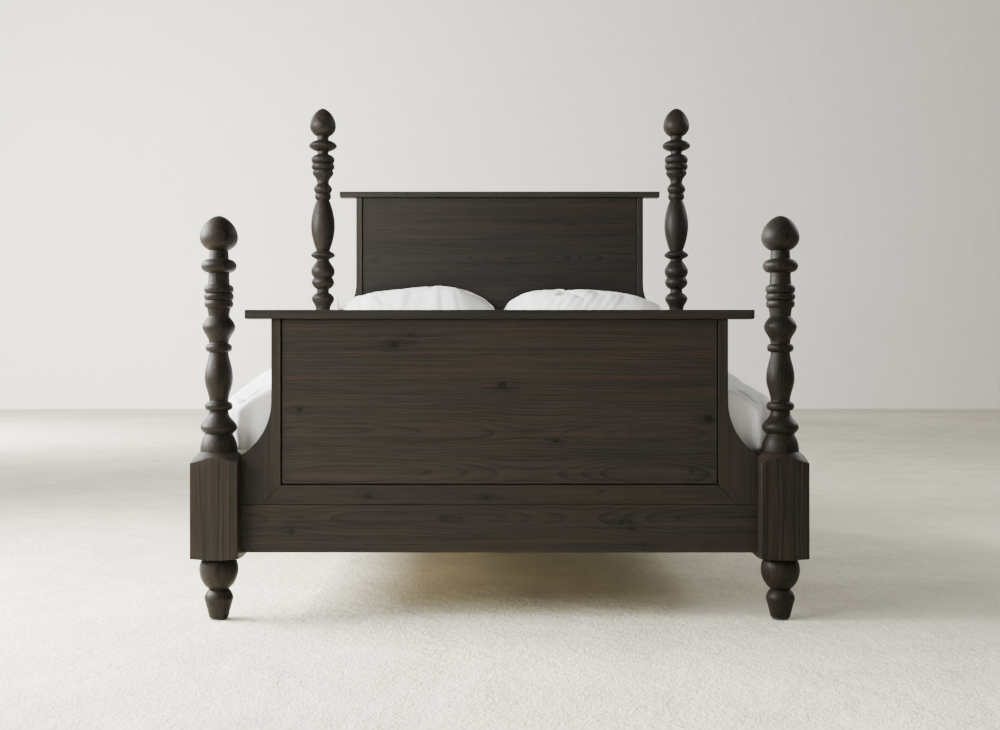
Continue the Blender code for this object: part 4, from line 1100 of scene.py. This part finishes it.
def build_duvet():
    step = 0.0135
    half_len = float(np.linalg.norm(np.diff(np.array(OUTER), axis=0), axis=1).sum())
    na = int(half_len / step)
    out_h = curve_fn(OUTER, na)
    # the lower side is stepped so that each point faces one on the upper side
    inn = np.array(INNER)
    o = np.array(OUTER)
    so = np.concatenate([[0], np.cumsum(np.linalg.norm(np.diff(o, axis=0), axis=1))])
    t = np.linspace(0, so[-1], na + 1)
    inn_h = np.stack([np.interp(t, so, inn[:, 0]), np.interp(t, so, inn[:, 1])], 1)
    for _ in range(6):
        inn_h[1:-1] = (inn_h[:-2] + 2 * inn_h[1:-1] + inn_h[2:]) / 4
    inn_h[:, 1] = np.where(inn_h[:, 0] < 0.70, np.maximum(inn_h[:, 1], 0.6838), inn_h[:, 1])
    X = lambda h: np.concatenate([-h[::-1, 0], h[1:, 0]])
    Z = lambda h: np.concatenate([h[::-1, 1], h[1:, 1]])
    ox, oz, ix, iz = X(out_h), Z(out_h), X(inn_h), Z(inn_h)
    cols = len(ox)
    y_head, y_foot = D_HI.y - 0.004, -1.0135
    rows_top = int((y_head - y_foot) / step)
    ys = [y_foot + (y_head - y_foot) * i / rows_top for i in range(rows_top + 1)]
    tongue = 19
    bm = bmesh.new()
    grid = {}

    def hem(e, d=0.055):
        """Thickness near a sewn edge, 0 at the edge to 1."""
        return math.sqrt(max(0.0, 1 - (1 - min(e / d, 1.0)) ** 2))

    def folds(x, y, z, a):
        """Movement outwards of the drop, then of the top."""
        side = sstep(0.70, 0.50, z)
        sgn = 1 if x > 0 else -1
        ph = y * 2 * math.pi / 0.36 + 1.3 * sgn + 0.9 * math.sin(y * 3.1 + sgn)
        w = math.sin(ph + 0.6 * math.sin(ph)) * 0.5 + 0.35 * math.sin(ph * 0.53 + 1.7 * sgn) + 0.22 * math.sin(ph * 1.9 + 2.2)
        pleat = max(0.0, math.sin(ph * 0.5 + 0.8 * math.sin(y * 2.3 + 2 * sgn) + 0.7)) ** 5
        diag = max(0.0, math.sin((y * 0.9 + (z - 0.4) * 1.6 * sgn) * 11.0 + 1.1 * sgn)) ** 4
        drop = side * (w * 0.0100 + pleat * 0.0095 + diag * 0.0040 - 0.003)
        q = Vector((x * 2.4, y * 2.4, 0.3))
        warp = Vector((fbm(q + Vector((5, 1, 0))), fbm(q + Vector((1, 9, 2))), 0)) * 0.55
        r1 = 1 - abs(fbm(Vector((x * 2.1, y * 3.9, 1.0)) + warp, 2)) * 3.0
        r2 = 1 - abs(fbm(Vector((x * 5.3 + y * 2.0, y * 3.4 - x * 1.2, 4.0)) + warp * 2, 2)) * 3.4
        lump = fbm(Vector((x * 2.6, y * 2.6, 8.0)), 2)
        top = (max(r1, 0.0) ** 2.2 * 0.0062 + max(r2, 0.0) ** 2.6 * 0.0034 + lump * 0.014)
        return drop + top * (1 - 0.45 * side)

    for j in range(-tongue, rows_top + 1):
        for i in range(cols):
            x, z, xi, zi = ox[i], oz[i], ix[i], iz[i]
            # one shoulder has settled lower than the other
            if x > 0:
                z -= 0.0055 * sstep(0.58, 0.70, x) * sstep(0.84, 0.78, x)
            arc = abs(i - na) * step
            edge_x = (na - abs(i - na)) * step
            if j < 0:
                if abs(x) > 0.802:
                    continue
                b = -j * (0.255 / tongue)
                y_o, y_i = -1.0505, -1.0235
                d_edge = min(0.255 - b, 0.806 - abs(x))
                k = 0.30 + 0.70 * hem(d_edge, 0.05)
                mid_y = (y_o + y_i) / 2
                y_o = mid_y + (y_o - mid_y) * k
                y_i = mid_y + (y_i - mid_y) * k
                w = 0.0022 * math.sin(x * 22 + 1.5 * math.sin(x * 7)) * sstep(0.0, 0.12, b)
                # the tucked corner: a soft valley, and the rolled ridge of the tuck beside it
                ax = abs(x)
                down = sstep(0.01, 0.08, b)
                side = (ax - 0.60) / 0.2 if ax > 0.60 else 0.0
                w += 0.0075 * math.exp(-((ax - 0.776) / 0.010) ** 2) * down - 0.0060 * math.exp(-((ax - 0.748) / 0.016) ** 2) * down
                w += 0.0035 * math.exp(-((ax - 0.712) / 0.020) ** 2) * sstep(0.02, 0.16, b)
                floor_z = 0.478 + 0.016 * sstep(0.728, 0.750, ax)
                f0 = z - 0.052
                z_top = f0 - (f0 - floor_z) * min(b / 0.255, 1.0)
                zi_top = min(f0, 0.676)
                zi_top = zi_top - (zi_top - floor_z) * min(b / 0.255, 1.0)
                po = Vector((x, y_o - w * k, z_top))
                pi_ = Vector((x, y_i, zi_top))
            else:
                y = ys[j]
                d_foot = y - y_foot
                d_head = y_head - y
                w = 1 - sstep(0.765, 0.825, abs(x))
                # over the foot of the mattress the top rounds down into the tucked tongue
                roll = (1 - sstep(0.0, 0.115, d_foot)) * w
                dz = 0.050 * roll ** 1.5
                yo = y - 0.030 * roll ** 2.0
                thick_edge = min(d_head, edge_x, d_foot + (0.09 if w > 0.5 else 0.09 * w))
                k = 0.22 + 0.78 * hem(thick_edge, 0.060)
                f = folds(x, y, z, arc)
                # the stitched line beside the hem
                e_hem = min(d_head, edge_x)
                f -= 0.0050 * math.exp(-((e_hem - 0.034) / 0.010) ** 2)
                # outward direction of the section
                ia, ib = max(i - 1, 0), min(i + 1, cols - 1)
                tx, tz = ox[ib] - ox[ia], oz[ib] - oz[ia]
                m = math.hypot(tx, tz)
                nx_, nz_ = -tz / m, tx / m
                if nz_ < -0.2:
                    nx_, nz_ = -nx_, -nz_
                cxm, czm = (x + xi) / 2, (z + zi) / 2
                if k < 1:
                    # a hem gathers towards the lower side
                    x = xi + (x - xi) * k
                    z = zi + (z - zi) * k
                inward = 0.004 * (1 - hem(min(edge_x, d_head), 0.03))
                po = Vector((x + nx_ * f * k, yo, z + nz_ * f * k - dz))
                lift = 0.3 * f * sstep(0.70, 0.60, z)
                pi_ = Vector((xi + (nx_ * lift), max(y - 0.008 * roll, -1.0185 if w > 0.5 else -1.0135), zi))
                if abs(xi) > 0.77:
                    pi_.x = math.copysign(max(abs(pi_.x), 0.7705), xi)
            grid[i, j] = (bm.verts.new(po), bm.verts.new(pi_))
    cells = [(i, j) for j in range(-tongue, rows_top) for i in range(cols - 1)
             if all(c in grid for c in ((i, j), (i + 1, j), (i, j + 1), (i + 1, j + 1)))]
    live = set(cells)
    for i, j in cells:
        q = [grid[i, j], grid[i + 1, j], grid[i + 1, j + 1], grid[i, j + 1]]
        bm.faces.new([v[0] for v in q])
        bm.faces.new([v[1] for v in reversed(q)])
        for (di, dj), (a, b) in (((0, -1), (0, 1)), ((1, 0), (1, 2)), ((0, 1), (2, 3)), ((-1, 0), (3, 0))):
            if (i + di, j + dj) not in live:
                bm.faces.new((q[b][0], q[a][0], q[a][1], q[b][1]))
    loose = [v for v in bm.verts if not v.link_faces]
    if loose:
        bmesh.ops.delete(bm, geom=loose, context="VERTS")
    ob = finish_bm("duvet_quilt", bm, MAT_DUVET)
    return ob


duvet = build_duvet()
co = np.array([v.co[:] for v in duvet.data.vertices])
nrm = np.array([v.normal[:] for v in duvet.data.vertices])
# what lies on the mattress, and what is tucked, stays put
pins = np.zeros(len(co))
for i, (p, nn) in enumerate(zip(co, nrm)):
    low = (p[2] < 0.700 and abs(p[0]) < 0.76) or (abs(p[0]) < 0.80 and nn[0] * p[0] < 0)
    pins[i] = 1.0 if (low or p[1] < -1.019) else 0.0
puff(duvet, pressure=2.2, frames=14, cap=0.012, shrink=-0.034, quality=5, stiff=14.0, bend=0.9, pins=pins, mass=0.3, airy=2.0)
sub = duvet.modifiers.new("smooth", "SUBSURF")
sub.levels = sub.render_levels = 1
piece(duvet, "duvet", "duvet_cotton", "duvet")


# ------------------------------------------------------------------ pillows
SIL_LEFT = [(-0.765, 0.955), (-0.746, 1.009), (-0.710, 1.043), (-0.666, 1.067), (-0.587, 1.087), (-0.484, 1.100), (-0.382, 1.110), (-0.282, 1.116), (-0.205, 1.108),
            (-0.131, 1.085), (-0.066, 1.052), (-0.022, 1.009), (-0.004, 0.955)]
SIL_RIGHT = [(0.000, 0.955), (0.014, 1.009), (0.054, 1.049), (0.105, 1.079), (0.155, 1.095), (0.255, 1.100), (0.409, 1.099), (0.509, 1.092), (0.609, 1.076),
             (0.679, 1.056), (0.730, 1.034), (0.762, 1.009), (0.772, 0.955)]


def pillow(side, sx, sil, seed):
    lo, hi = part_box(f"pillow_{side}")
    cx = (lo.x + hi.x) / 2
    W, H, T = 0.385, 0.258, 0.034
    nu, nv = 88, 58
    bm = bmesh.new()
    g = {}
    for b in range(nv + 1):
        for a in range(nu + 1):
            u, v = -1 + 2 * a / nu, -1 + 2 * b / nv
            # cut with bowed sides and eased corners, because the air draws the middle of each side in
            px = u * W * (1 + 0.065 * (1 - v * v) - 0.020 * v ** 4)
            py = v * H * (1 + 0.090 * (1 - u * u) - 0.020 * u ** 4)
            e = max(0.0, (1 - u * u)) ** 0.5 * max(0.0, (1 - v * v)) ** 0.5
            hgt = T * e ** 0.6 + 0.0012
            lump = 0.004 * fbm(Vector((u * 2.1, v * 2.1, seed)), 2) * e
            edge = a in (0, nu) or b in (0, nv)
            if edge:
                p = bm.verts.new((px, py, 0))
                g[a, b] = (p, p)
            else:
                g[a, b] = (bm.verts.new((px, py, hgt + lump)), bm.verts.new((px, py, -hgt + lump)))
    for b in range(nv):
        for a in range(nu):
            q = [g[a, b], g[a + 1, b], g[a + 1, b + 1], g[a, b + 1]]
            bm.faces.new([p[0] for p in q])
            bm.faces.new([p[1] for p in reversed(q)])
    ob = finish_bm(f"pillow_case_{side}", bm, MAT_PILLOW)
    puff(ob, pressure=5.0, frames=24, cap=0.16, shrink=0.0, quality=6, stiff=22.0, bend=0.35, mass=0.2, airy=1.5)
    me = ob.data
    co = np.array([v.co[:] for v in me.vertices])
    # to the pillow's own size, then laid back against the headboard
    span = co.max(0) - co.min(0)
    co = (co - (co.max(0) + co.min(0)) / 2) * np.array([0.752, 0.485, 0.152]) / span
    lean = math.radians(36)
    wx = co[:, 0] + cx
    wy = co[:, 1] * math.sin(lean) - co[:, 2] * math.cos(lean)
    wz = co[:, 1] * math.cos(lean) + co[:, 2] * math.sin(lean)
    mid_y, mid_z = (lo.y + hi.y) / 2, (lo.z + hi.z) / 2
    wy += mid_y
    wz += mid_z
    # pressed flat on the mattress below and on the board behind
    def press(v, limit, sgn, soft):
        d = (v - limit) * sgn
        return np.where(d > -soft, limit + sgn * (-soft * np.exp(-np.maximum(d + soft, 0) / soft)), v)
    wy = press(wy, hi.y - 0.0005, 1, 0.016)
    wz = press(wz, M_HI.z + 0.004, -1, 0.016)
    # the top line of the pillow
    sx_, sz_ = zip(*sil)
    bins = np.linspace(lo.x - 0.01, hi.x + 0.01, 73)
    idx = np.clip(np.digitize(wx, bins) - 1, 0, 71)
    # the highest point as the eye sees it, against the plane y 1.0
    seen = 0.751 + (wz - 0.751) * (1.0 + 4.811) / (wy + 4.811)
    top = np.array([seen[idx == k].max() if (idx == k).any() else np.nan for k in range(72)])
    mids = (bins[1:] + bins[:-1]) / 2
    ok = ~np.isnan(top)
    top = np.interp(mids, mids[ok], top[ok])
    top[1:-1] = (top[:-2] + 4 * top[1:-1] + top[2:]) / 6
    want = np.interp(mids, sx_, sz_)
    # the line is measured on the plane y 1.0, as the eye at 0.751 m sees it
    shift = np.interp(wx, mids, want - top)
    wz = wz + shift * np.clip((wz - 0.86) / 0.16, 0, 1) ** 1.2
    co = np.stack([wx, wy, wz], 1)
    me.vertices.foreach_set("co", co.ravel())
    me.update()
    me.calc_loop_triangles() if hasattr(me, "calc_loop_triangles") else None
    # creases, drawn on the sloping front
    nrm = np.array([v.normal[:] for v in me.vertices])
    for i, (p, nn) in enumerate(zip(co, nrm)):
        if nn[1] > 0.35:
            continue
        X, Z = p[0], p[2]
        d = 0.0
        if side == "left":
            # lines from A to B with width and depth: a valley with a raised lip
            lines = (((-0.610, 1.080), (-0.455, 1.012), 0.016, 0.0052), ((-0.565, 1.092), (-0.520, 1.000), 0.013, 0.0042), ((-0.270, 1.105), (-0.255, 0.960), 0.018, 0.0048),
                     ((-0.200, 1.100), (-0.165, 0.950), 0.020, 0.0040), ((-0.640, 1.060), (-0.600, 0.930), 0.018, 0.0042), ((-0.395, 1.100), (-0.450, 0.900), 0.022, 0.0030))
        else:
            lines = tuple((((0.245 + 0.043 * k, 1.092 - 0.001 * k), (0.180 + 0.038 * k, 1.000 - 0.006 * k), 0.0115, 0.0036 + 0.0007 * (k % 3))) for k in range(9)) + \
                    (((0.690, 1.050), (0.650, 0.920), 0.02, 0.0045), ((0.10, 1.07), (0.16, 0.93), 0.02, 0.004))
        for (ax, az), (bx, bz), wd, dp in lines:
            vx, vz = bx - ax, bz - az
            L2 = vx * vx + vz * vz
            t = ((X - ax) * vx + (Z - az) * vz) / L2
            if -0.25 < t < 1.3:
                dist = ((X - ax) * vz - (Z - az) * vx) / math.sqrt(L2)
                env = sstep(-0.25, 0.15, t) * (1 - sstep(0.7, 1.3, t))
                q = dist / wd
                d += env * dp * (-math.exp(-q * q * 2.2) + 0.55 * math.exp(-(q - 1.25) ** 2 * 1.6))
        d *= sstep(0.004, 0.026, float(np.interp(X, sx_, sz_)) - Z) * (0.75 if side == "left" else 0.62)
        d += 0.0035 * fbm(Vector((X * 5, p[1] * 5, Z * 5 + seed)), 3)
        co[i] += nn * d
    me.vertices.foreach_set("co", co.ravel())
    me.update()
    m = ob.modifiers.new("smooth", "SUBSURF")
    m.levels = m.render_levels = 1
    piece(ob, f"pillow_{side}", "pillow_cotton", f"pillow_{side}")
    # the seam where the two faces of the case are sewn
    ring = [(a, 0) for a in range(nu)] + [(nu, b) for b in range(nv)] + [(a, nv) for a in range(nu, 0, -1)] + [(0, b) for b in range(nv, 0, -1)]
    index = {}
    k = 0
    for b in range(nv + 1):
        for a in range(nu + 1):
            index[a, b] = k
            k += 1 if (a in (0, nu) or b in (0, nv)) else 2
    path = [Vector(co[index[r]]) for r in ring]
    n = len(path)
    for _ in range(2):
        path = [(path[i - 1] + path[i] * 2 + path[(i + 1) % n]) / 4 for i in range(n)]
    cord = tube(f"pillow_seam_{side}", path, 0.0021, MAT_PILLOW, True, 8)
    piece(cord, f"pillow_{side}", "pillow_cotton")
    return ob


pillow("left", -1, SIL_LEFT, 2.0)
pillow("right", 1, SIL_RIGHT, 9.0)


# ------------------------------------------------------------------ floor, wall and lights
def plaster(name, base, speck=0.10, scale=1.0, rough=0.9, bumpy=0.004):
    t = Tree(name)
    x, y, z = t.sep(t.coords())
    p = t.com(x, y, z)
    big = t.noise(p, 0.55 * scale, 4, 0.55, 1.0, 0.4)
    med = t.noise(p, 4.5 * scale, 5, 0.6, 3.0, 0.3)
    fine = t.noise(p, 38.0 * scale, 4, 0.65, 5.0)
    grit = t.noise(p, 130.0 * scale, 2, 0.6, 7.0)
    f = t.math("ADD", t.math("MULTIPLY", big, 0.30), t.math("MULTIPLY", med, 0.24))
    f = t.math("ADD", f, t.math("ADD", t.math("MULTIPLY", fine, 0.22), t.math("MULTIPLY", grit, 0.24)))
    col = t.ramp(f, ((0.38, tuple(c * (1 - speck) for c in base)), (0.62, tuple(min(1.0, c * (1 + speck * 0.5)) for c in base))))
    t.rgb(t.bsdf.inputs["Base Color"], col)
    t.bsdf.inputs["Roughness"].default_value = rough
    h = t.math("ADD", t.math("MULTIPLY", med, 1.0), t.math("MULTIPLY", fine, 0.32))
    h = t.math("ADD", h, t.math("MULTIPLY", grit, 0.22))
    t.link(t.bump(h, bumpy, 0.8), t.bsdf.inputs["Normal"])
    t.bsdf.inputs["Specular IOR Level"].default_value = 0.2
    return t.mat


WALL_Y = 16.8


def quad(name, pts, mat):
    bm = bmesh.new()
    bm.faces.new([bm.verts.new(p) for p in pts])
    me = bpy.data.meshes.new(name)
    bm.to_mesh(me)
    bm.free()
    ob = link(name, me, mat)
    return ob


floor = quad("floor", [(-24, -16, 0), (24, -16, 0), (24, WALL_Y, 0), (-24, WALL_Y, 0)], plaster("floor_plaster", (0.775, 0.737, 0.588), 0.32, 1.0, 0.85, 0.031))
wall = quad("wall", [(24, WALL_Y, 0), (-24, WALL_Y, 0), (-24, WALL_Y, 16), (24, WALL_Y, 16)], plaster("wall_plaster", (0.805, 0.785, 0.730), 0.060, 0.55, 0.95, 0.020))


def area(name, loc, target, size, power, color=(1, 1, 1), size_y=None, spread=180):
    d = bpy.data.lights.new(name, "AREA")
    d.shape = "RECTANGLE"
    d.size = size
    d.size_y = size_y or size
    d.energy = power
    d.color = color
    d.spread = math.radians(spread)
    o = bpy.data.objects.new(name, d)
    o.location = loc
    o.rotation_euler = (Vector(target) - Vector(loc)).to_track_quat("-Z", "Y").to_euler()
    COL.objects.link(o)
    return o


world = bpy.data.worlds.new("studio")
bpy.context.scene.world = world
world.use_nodes = True
bg = world.node_tree.nodes["Background"]
bg.inputs[0].default_value = (1.0, 0.985, 0.955, 1)
bg.inputs[1].default_value = 0.30

area("side_window", (-3.9, -0.9, 2.3), (0.2, -1.6, 0.0), 3.0, 690, (1.0, 0.99, 0.965), 1.8, 132)
area("back_left", (-5.2, 4.6, 4.0), (-2.9, 3.0, 0.0), 3.0, 330, (1.0, 0.99, 0.965))
area("right_fill", (4.4, -2.6, 2.6), (0.8, -0.4, 0.6), 2.4, 20, (1.0, 0.98, 0.95))
area("back_right", (4.8, 2.4, 3.6), (0.9, -0.5, 0.6), 2.6, 150, (1.0, 0.985, 0.955))
area("front_fill", (-3.2, -3.6, 2.4), (0.0, -1.1, 0.7), 2.2, 222, (1.0, 0.99, 0.97))
area("wall_wash", (-8.5, 6.5, 2.5), (-3.0, WALL_Y, 4.4), 4.0, 4300, (1.0, 0.99, 0.97))
